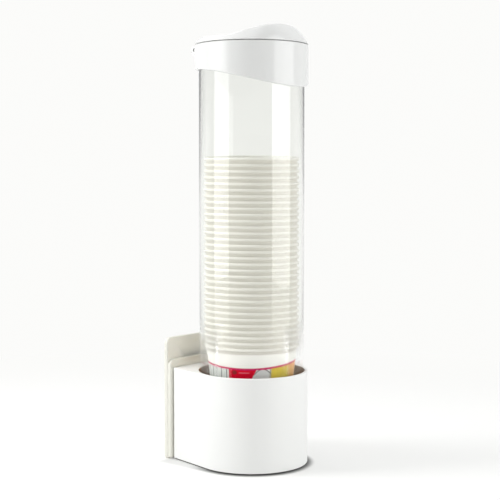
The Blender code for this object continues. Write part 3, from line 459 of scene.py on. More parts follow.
def paper(name, colours, print_share):
    """Coated paper with fibres and a side seam, and a printed patchwork under a wavy line.

    The map runs once round the cup, and from 0 at the foot to 1 under the rim.
    Beyond 1 lie the plain rim and the inside. The print comes twice round the cup,
    and each row of its patches is shifted against the one above.
    """
    paint, place = coat(name)
    fibre = paint.noise(paint.stretch(place, 0.35), 900.0, 4.0, 0.65)
    cloud = paint.noise(place, 60.0, 2.0)
    plain = paint.mix(fibre * 0.5 + cloud * 0.5, shade(colours.paper, 0.965), shade(colours.paper, 1.03))
    across, up, _ = paint.split(paint.place("UV"))
    # steps are degrees round the cup, and levels millimetres below the upper line of a row
    repeat, row_height, row_shift, wall_height = 180, 24.0, 65.0, 86.0
    period = (across * 360 - 130 + 720) % repeat
    wave = paint.math("SINE", (period - 89.5) * math.radians(1))
    below = (print_share - up) * wall_height + wave * wave * 2.3 + wave * 0.7
    row = paint.math("FLOOR", below / row_height)
    step = (period + row * row_shift) % repeat
    level = below % row_height
    printed = paint.rise(below, 0.0, 0.15) * paint.rise(up, 0.055, 0.06)

    pale = paint.mix(paint.noise(place, 140.0, 2.0), (0.82, 0.86, 0.82), (0.92, 0.93, 0.90))
    reeds = paint.band(paint.math("SINE", step * 0.7 + level * 0.10), 0.90, 1.2, 0.04)
    dots = paint.band(paint.math("SINE", step * 1.7) * paint.math("SINE", level * 1.7), 0.62, 1.2, 0.05)
    left = paint.mix(reeds * 0.9, pale, shade(colours.ink, 0.5))
    left = paint.mix(dots * 0.8, left, (0.45, 0.66, 0.50))
    bars = paint.band(level % 7.0, 3.3, 4.1, 0.12) * paint.band(step, 73, 87, 0.6)
    spot_x = (step - 67.0) / 3.6
    spot_y = (level - 3.6) / 1.8
    spot = paint.fall(spot_x * spot_x + spot_y * spot_y, 0.75, 1.0)
    red = paint.mix(bars * 0.55, colours.red, (0.86, 0.30, 0.34))
    red = paint.mix(spot, red, (0.30, 0.03, 0.03))
    hill = paint.math("SINE", (step - 92.0) * 0.13) * 4.5 + 2.0
    outline = paint.band(level + hill, 7.2, 8.0, 0.2)
    ground = paint.rise(level + hill, 7.6, 7.9)
    grey = paint.mix(ground * 0.5, (0.88, 0.88, 0.86), (0.66, 0.68, 0.66))
    grey = paint.mix(outline, grey, shade(colours.ink, 0.5))
    panes = paint.band(step % 9.0, 0.6, 8.2, 0.25)
    yellow = paint.mix(panes * 0.6, shade(colours.yellow, 0.78), colours.yellow)
    slant = paint.band((step + level * 1.4) % 8.0, 1.0, 3.4, 0.4)
    orange = paint.mix(slant, colours.orange, (0.92, 0.78, 0.50))

    leaning = paint.rise(step + (level - 3.0) * 0.9, 94.6, 95.4)
    print_colour = paint.mix(paint.band(step, 59, 100, 0.35) * (1 - leaning), left, red)
    lines = paint.math("MAXIMUM", paint.band(below, 0.0, 1.6, 0.12), paint.band(up, 0.055, 0.075, 0.003))
    for share, layer in ((leaning, grey), (paint.band(step, 116, 147, 0.35), yellow),
                         (paint.rise(step, 146.7, 147.3), orange),
                         (paint.band(step, 114.2, 115.6, 0.3) * 0.8, colours.ink), (lines, colours.line)):
        print_colour = paint.mix(share, print_colour, layer)

    seam_low, seam_high = 0.0935, 0.0955
    seam = paint.band(across, seam_low, seam_high, 0.0004) * paint.fall(up, 0.995, 1.0)
    # painted shade: the wall under each rolled rim and the bead's lower half turn warm dark grey, standing in for
    # the shade between stacked rims
    painted_rim_shade = paint.rise(up, 0.9745, 0.9785) * paint.fall(up, 1.04, 1.2)
    plain = paint.mix(painted_rim_shade * 0.42, plain, (0.40, 0.36, 0.28))
    colour = paint.mix(printed, plain, print_colour)
    colour = paint.mix(seam * 0.25, colour, shade(colours.paper, 0.6))
    knurl = paint.math("SINE", across * 360 * 1.4) * paint.fall(up, 0.045, 0.06)
    relief = fibre * 0.35 + paint.rise(across, seam_low, seam_high) * 0.8 + knurl * 0.6
    gloss = 0.5 + (fibre - 0.5) * 0.16 - printed * 0.12
    return paint.finish(Base_Color=colour, Roughness=gloss, Specular_IOR_Level=0.1,
                        Normal=paint.bump(relief, 0.2, 0.00006))


def finish(name):
    """A finish by its short name; made once, then found again."""
    title = f"{name}_finish"
    colours, housing, cup = settings().finish, settings().housing, settings().cup
    wall_height = CUP_HIGH[2] - CUP_LOW[2] - 2 * cup.bead
    make, *values = {
        "gloss_white": (moulded, colours.gloss, 0.17, 380.0, 0.00001, 1.62),
        "satin_white": (moulded, colours.shell, 0.34, 520.0, 0.00002, 1.5, housing.throat),
        "warm_white": (textured, colours.plate, 0.42),
        "inner_white": (textured, colours.inside, 0.5),
        "clear_plastic": (clear_plastic, colours.clear),
        "steel": (brushed, colours.steel),
        "printed_paper": (paper, colours, cup.print_top / wall_height),
    }[name]
    return bpy.data.materials.get(title) or make(title, *values)


def add_object(name, data):
    """A new object in the scene."""
    thing = bpy.data.objects.new(name, data)
    bpy.context.scene.collection.objects.link(thing)
    return thing


def turns(count):
    """Equal angles round a full turn."""
    return np.linspace(0, TAU, count, endpoint=False)


def stacked(*parts):
    """Points, or rows of numbers, from parts that are spread over each other's rows and columns."""
    return np.stack(np.broadcast_arrays(*parts), axis=-1)


def grid(points, ends="open", joined=True, wrap=None):
    """Mesh of a grid of points, rows by columns.

    The columns close into rings when joined is true. The rows end open, or as
    flat caps, or run on from the last to the first. wrap gives the map's two
    coordinates for every row and every column edge.
    """
    rows, columns = points.shape[:2]
    index = np.arange(rows * columns).reshape(rows, columns)
    after = np.roll(index, -1, axis=1)
    if ends == "loop":
        lower, upper = (index, after), (np.roll(index, -1, axis=0), np.roll(after, -1, axis=0))
    else:
        lower, upper = (index[:-1], after[:-1]), (index[1:], after[1:])
    quads = np.stack([lower[0], lower[1], upper[1], upper[0]], axis=-1)
    if not joined:
        quads = quads[:, :-1]
    corners = quads.reshape(-1, 4)
    mesh = bpy.data.meshes.new("grid")
    mesh.vertices.add(rows * columns)
    mesh.vertices.foreach_set("co", points.reshape(-1).astype(np.float32))
    mesh.loops.add(corners.size)
    mesh.loops.foreach_set("vertex_index", corners.reshape(-1).astype(np.int32))
    mesh.polygons.add(len(corners))
    mesh.polygons.foreach_set("loop_start", np.arange(0, corners.size, 4, dtype=np.int32))
    mesh.update(calc_edges=True)
    if wrap is not None:
        left, right = wrap[0][:-1], wrap[0][1:]
        low, high = wrap[1][:-1, None], wrap[1][1:, None]
        uv = stacked(left, low, right, low, right, high, left, high)
        mesh.uv_layers.new(name="UVMap").data.foreach_set("uv", uv.reshape(-1).astype(np.float32))
    if ends == "caps":
        work = bmesh.new()
        work.from_mesh(mesh)
        work.verts.ensure_lookup_table()
        for ring in (index[0][::-1], index[-1]):
            work.faces.new([work.verts[i] for i in ring])
        work.to_mesh(mesh)
        work.free()
    return mesh


def flatten(thing):
    """Weights normals by area, so that flat faces beside rounded edges look flat."""
    thing.modifiers.new("flat_faces", "WEIGHTED_NORMAL").keep_sharp = True


def piece(name, meshes, material, nodes, sharp=MOULDED_SHARP, ride=True):
    """Joins meshes into one object, which stands for nodes and rides on their body."""
    work = bmesh.new()
    for mesh in meshes:
        work.from_mesh(mesh)
        bpy.data.meshes.remove(mesh)
    bmesh.ops.remove_doubles(work, verts=work.verts, dist=1e-7)
    bmesh.ops.recalc_face_normals(work, faces=work.faces)
    mesh = bpy.data.meshes.new(name)
    work.to_mesh(mesh)
    work.free()
    mesh.shade_smooth()
    mesh.set_sharp_from_angle(angle=math.radians(sharp))
    mesh.materials.append(finish(material))
    thing = add_object(name, mesh)
    if material != "clear_plastic":
        flatten(thing)
    if ride:
        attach(thing, body_of(nodes[0]))
    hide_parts(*nodes)
    return thing


def about_axis(radius, z, angles):
    """Points at radii and heights about the tube's axis.

    x = radius times cosine, y = radius times sine.
    """
    return stacked(radius * np.cos(angles) + AXIS[0], radius * np.sin(angles) + AXIS[1], z)


def lathe(profile, angles):
    """Points of a profile of radius and height turned about the tube's axis."""
    return about_axis(profile[:, :1], profile[:, 1:], angles)


def unit(vectors):
    """Vectors with a length of 1."""
    return vectors / np.maximum(np.linalg.norm(vectors, axis=-1, keepdims=True), 1e-12)


def rounded(corners, radii, steps=6, closed=True):
    """Outline with each corner replaced by an arc.

    The arc is a rational curve of second order from one tangent point to the
    other, with the cosine of half the turn as the corner's weight.
    """
    corners = np.asarray(corners, float)
    radii = np.broadcast_to(np.asarray(radii, float), len(corners))
    before = np.roll(corners, 1, axis=0) - corners
    after = np.roll(corners, -1, axis=0) - corners
    length_before = np.linalg.norm(before, axis=1)
    length_after = np.linalg.norm(after, axis=1)
    before = before / length_before[:, None]
    after = after / length_after[:, None]
    inside = np.arccos(np.clip((before * after).sum(axis=1), -1, 1))
    half_turn = (math.pi - inside) / 2
    reach = np.minimum(radii * np.tan(half_turn), 0.49 * np.minimum(length_before, length_after))
    if not closed:
        reach[[0, -1]] = 0
    start = (corners + before * reach[:, None])[:, None]
    end = (corners + after * reach[:, None])[:, None]
    share = np.linspace(0, 1, steps + 1)[None, :, None]
    weight = np.cos(half_turn)[:, None, None]
    first, middle, last = (1 - share) ** 2, 2 * share * (1 - share) * weight, share ** 2
    arcs = (first * start + middle * corners[:, None] + last * end) / (first + middle + last)
    if not closed:
        return np.concatenate([corners[:1], arcs[1:-1].reshape(-1, 2), corners[-1:]])
    return arcs.reshape(-1, 2)


def swept_slab(outline, low, high, edge, axis):
    """Flat plate with rounded edges: an outline that shrinks along its normals at both faces."""
    ahead = np.roll(outline, -1, axis=0) - outline
    along = unit(unit(ahead) + unit(np.roll(ahead, 1, axis=0)))
    area = np.sum(outline[:, 0] * np.roll(outline[:, 1], -1) - outline[:, 1] * np.roll(outline[:, 0], -1))
    inward = stacked(-along[:, 1], along[:, 0]) * np.sign(area)
    bend = np.linspace(0, math.pi / 2, 5)
    inset = np.concatenate([edge * (1 - np.sin(bend)), edge * (1 - np.cos(bend))])
    depth = np.concatenate([low + edge * (1 - np.cos(bend)), high - edge * (1 - np.sin(bend))])
    flat = outline[None] + inward[None] * inset[:, None, None]
    first, second, third = flat[..., 0], flat[..., 1], depth[:, None]
    order = {"X": (third, first, second), "Y": (first, third, second)}
    return grid(stacked(*order[axis]), "caps")


def box_points(low, high):
    """Corners of a box as a grid of two rings."""
    ring = np.array([[low[0], low[1]], [high[0], low[1]], [high[0], high[1]], [low[0], high[1]]])
    return np.stack([stacked(ring[:, 0], ring[:, 1], z) for z in (low[2], high[2])])


def carve(thing, cutters, sharp=MOULDED_SHARP):
    """Cuts closed meshes out of a piece, and keeps the result as its mesh."""
    thing.modifiers.clear()
    made = [add_object(f"cutter_{number}", mesh) for number, mesh in enumerate(cutters)]
    for cutter in made:
        modifier = thing.modifiers.new("carve", "BOOLEAN")
        modifier.operation = "DIFFERENCE"
        modifier.solver = "EXACT"
        modifier.object = cutter
    bpy.context.view_layer.update()
    evaluated = thing.evaluated_get(bpy.context.evaluated_depsgraph_get())
    carved = bpy.data.meshes.new_from_object(evaluated)
    thing.modifiers.clear()
    old, thing.data = thing.data, carved
    bpy.data.meshes.remove(old)
    carved.name = thing.name
    carved.set_sharp_from_angle(angle=math.radians(sharp))
    flatten(thing)
    for cutter in made:
        bpy.data.objects.remove(cutter, do_unlink=True)


def body_radius(angles, inset):
    """Distance from the axis to the housing's outline along each angle.

    The front is a circle. The sides are tangents to it, whose distance is the
    radius over the cosine of the angle past the tangent point. The back is
    flat, and an arc joins it to each side.
    """
    sizes = settings().housing
    radius = HOUSING_RADIUS - inset
    back = HOUSING_HIGH[1] - AXIS[1] - inset
    corner = max(sizes.corner - inset, 0.0004)
    turn = sizes.taper
    centre_y = back - corner
    centre_x = (radius - corner - math.sin(turn) * centre_y) / math.cos(turn)
    folded = np.where(np.cos(angles) < 0, math.pi - angles, angles)
    folded = (folded + math.pi) % TAU - math.pi
    first = math.atan2(centre_y + corner * math.sin(turn), centre_x + corner * math.cos(turn))
    second = math.atan2(back, centre_x)
    toward = centre_x * np.cos(folded) + centre_y * np.sin(folded)
    room = np.maximum(corner ** 2 - centre_x ** 2 - centre_y ** 2 + toward ** 2, 0)
    circle = np.full_like(folded, radius)
    side = radius / np.maximum(np.cos(folded - turn), 0.1)
    flat = back / np.maximum(np.sin(folded), 0.1)
    return np.select([folded <= turn, folded <= first, folded <= second],
                     [circle, side, toward + np.sqrt(room)], flat)


def housing_angles():
    """Angles round the housing, closer together at the two back corners."""
    back_share = 0.78  # half width of the back as a share of the radius
    corner = math.atan2(HOUSING_HIGH[1] - AXIS[1], HOUSING_RADIUS * back_share)
    near = np.linspace(corner - 0.1, corner + 0.1, 40)
    angles = np.concatenate([turns(240), near, math.pi - near])
    return np.unique(np.round(angles % TAU, 6))


def make_housing():
    """Base shell as one closed surface: outer wall, roof, throat, ledge, foot and neck hollow."""
    sizes = settings().housing
    angles = housing_angles()
    flat = np.zeros_like(angles)
    height, throat, undercut, edge = HOUSING_HIGH[2], sizes.throat, sizes.undercut, sizes.edge
    foot_edge, lead, wide, tight = 0.0004, 0.0012, 0.0005, 0.0002
    rows = []

    def add(radius, z):
        """Adds a row of points at radii and heights."""
        rows.append(np.stack([radius + flat, z + flat]))

    def add_wall(inset, z):
        """Adds a row of the outline, moved inwards."""
        add(body_radius(angles, inset), z)

    bend = np.linspace(0, math.pi / 2, 7)
    add_wall(undercut, 0)
    add_wall(undercut, undercut)
    for t in bend[::2]:
        add_wall(foot_edge * (1 - math.sin(t)), undercut + foot_edge * (1 - math.cos(t)))
    for t in bend:
        add_wall(edge * (1 - math.cos(t)), height - edge + edge * math.sin(t))
    ledge_top = TUBE_LOW[2] - FIT
    ledge_bottom = ledge_top - sizes.ledge_height
    ledge = sizes.ledge
    inner = rounded([(throat + lead, height), (throat, height), (throat, ledge_top), (ledge, ledge_top),
                     (ledge, ledge_bottom), (throat, ledge_bottom), (throat, 0), (throat + lead, 0)],
                    [0, wide, tight, wide, wide, tight, wide, 0], 4, closed=False)
    for radius, z in inner:
        add(radius, z)
    neck_inner = np.minimum(throat + sizes.throat_wall, body_radius(angles, 0) - undercut - tight)
    neck_outer = np.maximum(body_radius(angles, sizes.wall), neck_inner)
    open_share = np.clip((neck_outer - neck_inner) / 0.001, 0, 1)
    neck_top = (height - sizes.wall) * open_share ** 2 * (3 - 2 * open_share)
    for radius, z in ((neck_inner, 0), (neck_inner, neck_top), (neck_outer, neck_top), (neck_outer, 0)):
        add(radius, z)
    points = about_axis(*np.stack(rows, axis=1), angles)
    shell = piece("base_shell", [grid(points, "loop")], "satin_white", ["base_housing"])

    slot_half, slot_below, slot_above, past_back = 0.0045, 0.0076, 0.0033, 0.005
    back = HOUSING_HIGH[1]
    cutters = []
    for row in HOOK_ROWS:
        for side in (-HOOK_SIDE, HOOK_SIDE):
            low = (side - slot_half, back - sizes.wall - FIT, row - slot_below)
            high = (side + slot_half, back + past_back, row + slot_above)
            cutters.append(grid(box_points(low, high), "caps"))
    carve(shell, cutters)


def make_tube():
    """Clear tube with eased ends."""
    low, high, bore = TUBE_LOW[2], TUBE_HIGH[2], TUBE_RADIUS - TUBE_WALL
    profile = rounded([(TUBE_RADIUS, low), (TUBE_RADIUS, high), (bore, high), (bore, low)], 0.0004, 4)
    piece("clear_tube_wall", [grid(lathe(profile, turns(ROUND_SIDES)), "loop")], "clear_plastic",
          ["clear_tube"])


def hinge_outline(points, radii):
    """Outline in the y-z plane, given from the hinge's axis."""
    return rounded(points, radii, 8) + HINGE[1:]


def make_collar():
    """Collar with a slanted, rounded foot, the lip over the tube, and two hinge ears.

    The foot's height is the slant times y, less y squared over twice the bow's radius.
    """
    sizes = settings().top
    top, low = LID_SEAM, sizes.slant_middle
    radius, bore, lip = COLLAR_RADIUS, TUBE_RADIUS + FIT, TUBE_RADIUS - TUBE_WALL
    lip_low = TUBE_HIGH[2] + FIT
    lip_height, ear_height = 0.0019, 0.009
    lip_high = lip_low + lip_height
    middle = (lip_low + low) / 2
    tight, lip_edge = 0.0002, 0.0004
    profile = rounded([(radius, middle), (radius, top), (bore, top), (bore, lip_high), (lip, lip_high),
                       (lip, lip_low), (bore, lip_low), (bore, middle), (bore, low), (radius, low)],
                      [0, sizes.seam_round, FINE_EDGE, tight, lip_edge, lip_edge, tight, 0, FINE_EDGE,
                       sizes.foot_round], 8)
    points = lathe(profile, turns(ROUND_SIDES))
    y = points[..., 1] - AXIS[1]
    points[..., 2] += np.where(points[..., 2] < middle - 0.001, sizes.slant * y - y * y / (2 * sizes.bow), 0)

    eye = sizes.eye
    wall = (radius + bore) / 2 - (HINGE[1] - AXIS[1])
    foot, rise = top - ear_height - HINGE[2], top - HINGE[2]
    ear = hinge_outline([(wall, foot), (radius - HINGE[1] + AXIS[1], foot), (eye, -eye * 0.9),
                         (eye, eye), (-eye * 0.9, eye), (-eye * 1.35, rise - 0.0004), (wall, rise - 0.0008)],
                        [0, 0.001, eye, eye * 0.98, eye * 0.98, 0.001, 0])
    ear_inside, ear_outside = 0.0087, 0.014
    ears = [swept_slab(ear, low_x, high_x, FINE_EDGE, "X")
            for low_x, high_x in ((-ear_outside, -ear_inside), (ear_inside, ear_outside))]
    collar = piece("collar_ring", [grid(points, "loop"), *ears], "gloss_white",
                   ["lid_collar"])
    carve(collar, [rod_mesh(HINGE_HOLE, 0.02)])


def rod_mesh(radius, half_length, edge=0.0):
    """Round rod along the hinge's axis, with eased ends."""
    bend = np.linspace(0, math.pi / 2, 4)
    reach = np.concatenate([-half_length + edge * (1 - np.sin(bend[::-1])),
                            half_length - edge * (1 - np.sin(bend))])
    radii = np.concatenate([radius - edge * (1 - np.cos(bend[::-1])), radius - edge * (1 - np.cos(bend))])
    angles = turns(40)
    y = radii[:, None] * np.cos(angles) + HINGE[1]
    z = radii[:, None] * np.sin(angles) + HINGE[2]
    return grid(stacked(reach[:, None], y, z), "caps")


def make_hinge_pin():
    """Steel pin of the lid's hinge, a little shorter than the ears are wide."""
    low, high = span("hinge_pin")
    piece("lid_pin", [rod_mesh((high[2] - low[2]) / 2, high[0], FINE_EDGE)], "steel", ["hinge_pin"])


def lid_sweep(y):
    """Sweep over the rim: a smooth step from the plateau to the peak towards the front."""
    sizes = settings().top
    share = np.clip((-y - sizes.sweep_start) / (sizes.sweep_end - sizes.sweep_start), 0, 1)
    return sizes.plateau + (sizes.peak - sizes.plateau) * share ** 2 * (3 - 2 * share)


def lid_shoulder(radius):
    """Shoulder over the rim: a super-ellipse of the distance from the rim."""
    sizes = settings().top
    sideways, upward = 1.83, 1.2
    inset = np.clip((COLLAR_RADIUS - radius) / sizes.shoulder_reach, 0, 1)
    return sizes.shoulder * (1 - (1 - inset) ** sideways) ** (1 / upward)


def lid_height(radius, angles):
    """Height over the seam: the lower of shoulder and sweep, blended along the crest."""
    blend = settings().top.blend
    shoulder = lid_shoulder(radius)
    sweep = lid_sweep(radius * np.sin(angles))
    mix = np.clip(0.5 + 0.5 * (shoulder - sweep) / blend, 0, 1)
    return shoulder * (1 - mix) + sweep * mix - blend * mix * (1 - mix)


def lid_crest(angles):
    """Distance of the crest from the axis along each angle, found by halving."""
    low = np.zeros_like(angles)
    high = np.full_like(angles, COLLAR_RADIUS)
    for _ in range(30):
        middle = (low + high) / 2
        inside = lid_shoulder(middle) > lid_sweep(middle * np.sin(angles))
        low = np.where(inside, middle, low)
        high = np.where(inside, high, middle)
    return (low + high) / 2


def make_lid():
    """Flip lid: top and roof follow the crest, with a rolled rim and a locating skirt."""
    sizes = settings().top
    angles = turns(ROUND_SIDES)
    flat = np.zeros_like(angles)
    crest = lid_crest(angles)
    seam_gap, skirt_wall, skirt_depth, roof_margin = 0.0006, 0.0014, 0.0026, 0.0008
    bottom, soft, skirt = LID_SEAM + seam_gap, sizes.seam_round, TUBE_RADIUS
    skirt_inside, skirt_bottom = skirt - skirt_wall, LID_SEAM - skirt_depth
    to_crest = np.sin(np.linspace(0, math.pi / 2, 36)) ** 0.8
    to_rim = np.linspace(0, 1, 34)[1:] ** 1.3
    top = [share * crest for share in to_crest]
    top += [crest + (COLLAR_RADIUS - crest) * share for share in to_rim]
    rows = [(radius, np.maximum(LID_SEAM + lid_height(radius, angles), bottom + soft)) for radius in top]
    rows += [(COLLAR_RADIUS - soft * (1 - math.cos(t)) + flat, bottom + soft * (1 - math.sin(t)) + flat)
             for t in np.linspace(0, math.pi / 2, 6)[1:]]
    under = rounded([(COLLAR_RADIUS - soft, bottom), (skirt, bottom), (skirt, skirt_bottom),
                     (skirt_inside, skirt_bottom), (skirt_inside, LID_SEAM)],
                    [0, 0.0002, 0.0004, 0.0004, 0], 4, closed=False)
    rows += [(radius + flat, z + flat) for radius, z in under]
    limit = np.minimum(crest, skirt_inside - roof_margin)
    rows += [(limit * share, LID_SEAM + lid_height(limit * share, angles) - sizes.lid_wall)
             for share in np.linspace(1, 0, 26)]
    radius, z = (np.stack(part) for part in zip(*rows))
    dome = grid(about_axis(radius, z, angles))

    eye = sizes.eye
    root = (COLLAR_RADIUS + skirt) / 2 - (HINGE[1] - AXIS[1])
    base = LID_SEAM + 0.0005 - HINGE[2]
    tongue = hinge_outline([(root, base), (-eye * 0.95, base), (-eye * 0.7, -eye * 0.7), (0, -eye),
                            (eye, -eye), (eye, eye), (0, eye), (root, base + 0.0026)],
                           [0, 0.0004, 0.0004, 0.0008, eye * 0.98, eye * 0.98, eye, 0])
    half_width = 0.0082
    knuckle = swept_slab(tongue, -half_width, half_width, FINE_EDGE, "X")
    lid = piece("lid_dome", [dome, knuckle], "gloss_white", ["flip_lid"])
    carve(lid, [rod_mesh(HINGE_HOLE, 0.01)])


def plate_outline(half_width, low, high):
    """Upright rectangle with rounded corners."""
    sizes = settings().plate
    return rounded([(half_width, low), (half_width, high), (-half_width, high), (-half_width, low)],
                   [sizes.foot_corner, sizes.corner, sizes.corner, sizes.foot_corner], 10)


def make_plate():
    """Wall plate, hanger block, four hooks, and two countersunk holes."""
    sizes = settings().plate
    back = PLATE_HIGH[1]
    front = back - sizes.thickness
    block_front = front - sizes.block
    sunk, block_foot = 0.001, 0.0006
    panel, block = (
        swept_slab(plate_outline(half_width, low, high), first, last, sizes.edge, "Y")
        for half_width, low, high, first, last in (
            (PLATE_HIGH[0], 0, PLATE_HIGH[2], front, back),
            (sizes.block_half_width, block_foot, sizes.block_height, block_front, front + sunk)))

    hook_half, bar_top, nose_top, nose_edge, nose, play = 0.004, 0.003, 0.010, 0.0008, 0.0021, 0.0004
    nose_back = HOUSING_HIGH[1] - settings().housing.wall - play
    nose_front = nose_back - nose
    root = block_front + sunk
    hooks = []
    for row in HOOK_ROWS:
        outline = rounded([(nose_front, row), (root, row), (root, row + bar_top), (nose_back, row + bar_top),
                           (nose_back, row + nose_top), (nose_front, row + nose_top)],
                          [0.001, 0, 0, FINE_EDGE, nose_edge, nose_edge], 6)
        for side in (-HOOK_SIDE, HOOK_SIDE):
            hooks.append(swept_slab(outline, side - hook_half, side + hook_half, FINE_EDGE, "X"))
    plate = piece("plate_panel", [panel, block, *hooks], "warm_white", ["wall_plate"],
                  PLATE_SHARP)

    head, shank, past_face = 0.0042, 0.0021, 0.002
    sink_top, sink_bottom = front - 0.0008, front + 0.0013
    angles = turns(40)
    radii = np.array([head, head, shank, shank])[:, None]
    depth = np.array([block_front - past_face, sink_top, sink_bottom, back + past_face])[:, None]
    holes = [grid(stacked(radii * np.cos(angles), depth, middle + radii * np.sin(angles)), "caps")
             for middle in SCREW_HOLES]
    carve(plate, holes, PLATE_SHARP)


def cup_section():
    """Section of a cup from the middle of the floor inside, round the rim, to the floor below.

    Returns radius and height over the foot, and the map's height: below 0 under the
    floor, 0 to 1 on the printed wall, 1 to 1.3 up and over the rim, and 1.3 inside.
    """
    sizes = settings().cup
    height = CUP_HIGH[2] - CUP_LOW[2]
    rim = (CUP_HIGH[0] - CUP_LOW[0]) / 2
    bead, foot = sizes.bead, sizes.foot
    rim_overhang, floor_paper, fold, over_rim = 0.0017, 0.00035, 0.0012, 1.3
    under = height - 2 * bead
    wall_top = rim - rim_overhang
    inner_top = wall_top - sizes.paper
    floor_top = sizes.recess + floor_paper
    floor_radius = foot + (wall_top - foot) / under * floor_top - sizes.paper
    curl = np.linspace(math.pi, -math.pi / 2, 16)
    roll = stacked(rim - bead + bead * np.cos(curl), height - bead + bead * np.sin(curl))
    roll[:, 0] = np.maximum(roll[:, 0], inner_top)
    inner = rounded([(0, floor_top), (floor_radius, floor_top), (inner_top, height - bead)],
                    [0, fold, 0], 4, closed=False)
    wall = stacked(np.linspace(wall_top, foot, 12), np.linspace(under, 0, 12))
    skirt = foot - sizes.paper - floor_paper
    below = rounded([tuple(wall[-1]), (skirt, 0), (skirt, sizes.recess), (0, sizes.recess)],
                    [0, 0.0002, fold, 0], 4, closed=False)[1:]
    section = np.concatenate([inner, roll, wall, below])
    up = np.concatenate([np.full(len(inner), over_rim), np.linspace(over_rim, 1.0, len(roll)),
                         wall[:, 1] / under, np.full(len(below), -0.2)])
    return section, up


def make_cups():
    """All cups of the stack, each with its print turned a little further."""
    section, up = cup_section()
    angles = turns(settings().cup.sides)
    across = np.linspace(0, 1, len(angles) + 1)
    turn_per_cup = 0.137
    for number, node in enumerate(CUP_NODES):
        profile = section + np.array([0, span(node)[0][2]])
        mesh = grid(lathe(profile, angles), wrap=(across + turn_per_cup * number, up))
        piece(f"paper_{node}", [mesh], "printed_paper", [node], THIN_SHARP)


def make_screws():
    """Pan head screws seen from below, each with a cross recess pressed into its head.

    For each arm of the cross, the offsets across and along it are taken as shares
    of its half width and half length. The depth falls with the larger of both,
    for the arm where that is smaller.
    """
    angles = turns(64)
    half_width, half_length = 0.16, 0.62
    for node in sorted(frame["nodes"]):
        if "_screw_" not in node:
            continue
        low, high = span(node)
        centre = (low + high) / 2
        head, length = (high[0] - low[0]) / 2, high[2] - low[2]
        head_height, shank = (0.0009, 0.00085) if node.startswith("carrier") else (0.0011, 0.001)
        quarter = np.linspace(0, 1, 24) * math.pi / 2
        dome_radius = head * np.sin(quarter)
        dome = head_height * 0.55 * (1 - np.cos(quarter))
        x = dome_radius[:, None] * np.cos(angles)
        y = dome_radius[:, None] * np.sin(angles)
        arm = np.minimum(np.maximum(np.abs(x) / half_width, np.abs(y) / half_length),
                         np.maximum(np.abs(y) / half_width, np.abs(x) / half_length)) / head
        recess = head_height * 0.6 * np.clip((1.15 - arm) / 0.3, 0, 1)
        face = stacked(x, y, dome[:, None] + recess)
        thread = np.arange(0, 40)
        thread_radius = shank * (1 - 0.12 * (thread % 2))
        reach = np.linspace(head_height + 0.0003, length - shank, len(thread))
        radius = np.concatenate([[head, shank], thread_radius, [shank * 0.3, 0.0]])[:, None]
        z = np.concatenate([[head_height, head_height], reach, [length - 0.0002, length]])[:, None]
        rest = stacked(radius * np.cos(angles), radius * np.sin(angles), z)
        points = np.concatenate([face, rest]) + np.array([centre[0], centre[1], low[2]])
        piece(f"{node}_turned", [grid(points)], "steel", [node], SCREW_SHARP)


def sweep_wire(path, across, radius):
    """Round wire along a path; the ring's first axis is the cross product of path and a fixed axis."""
    along = unit(np.gradient(path, axis=0))
    first = unit(np.cross(along, across))
    second = np.cross(along, first)
    angles = turns(10)
    ring = (first[:, None] * np.cos(angles)[None, :, None] + second[:, None] * np.sin(angles)[None, :, None])
    return grid(path[:, None] + radius * ring, "caps")


def make_springs():
    """Torsion springs, whose coils wind up between the carrier and the claw.

    A leg lies along the claw's arm, the coil turns about the pivot, and a tail rests on the carrier.
    """
    upward = np.array([0, 0, 1.0])
    inward, down = 0.00965, 0.0098  # from the pivot to the claw's tip
    coil, leg_offset, half, wire_radius = 0.00122, 0.00215, 0.00165, 0.0002
    leg_length, tail_length = 0.008, 0.00175
    length = math.hypot(inward, down)
    along = (-inward / length, -down / length)
    across = (down / length, -inward / length)
    start = math.atan2(across[1], across[0])
    share = np.linspace(0, 1, 110)
    angle = start + (2 * TAU + (math.pi / 2 - start) % TAU) * share
    turning = stacked(coil * np.cos(angle), half * (2 * share - 1), coil * np.sin(angle))
    leg_share = np.linspace(1, 0, 18)[:-1]
    offset = coil + (leg_offset - coil) * leg_share ** 0.25
    leg = stacked(along[0] * leg_length * leg_share + across[0] * offset, -half,
                  along[1] * leg_length * leg_share + across[1] * offset)
    tail = stacked(tail_length * np.linspace(0, 1, 8)[1:], half, coil)
    local = np.concatenate([leg, turning, tail])
    for number, entry in enumerate(CLAW_JOINTS, 1):
        pivot = np.array(entry["pos_m"])
        outward = unit(np.array([pivot[0] - AXIS[0], pivot[1] - AXIS[1], 0]))
        tangent = np.cross(upward, outward)
        path = pivot + local[:, :1] * outward + local[:, 1:2] * tangent + local[:, 2:] * upward
        spring = piece(f"claw_spring_{number}_wire", [sweep_wire(path, tangent, wire_radius)], "steel",
                       [f"claw_spring_{number}"], THIN_SHARP, ride=False)
        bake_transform(spring)


def dress(node, material):
    """Gives a node of the model its finish."""
    thing = frame["nodes"][node]
    thing.data.materials.clear()
    thing.data.materials.append(finish(material))


def make_mechanism():
    """Finishes for the carrier, the claws, their pins and the neck cover."""
    dress("claw_carrier", "inner_white")
    dress("neck_cover", "inner_white")
    for number in range(1, len(CLAW_JOINTS) + 1):
        dress(f"claw_{number}", "inner_white")
        dress(f"claw_pin_{number}", "steel")


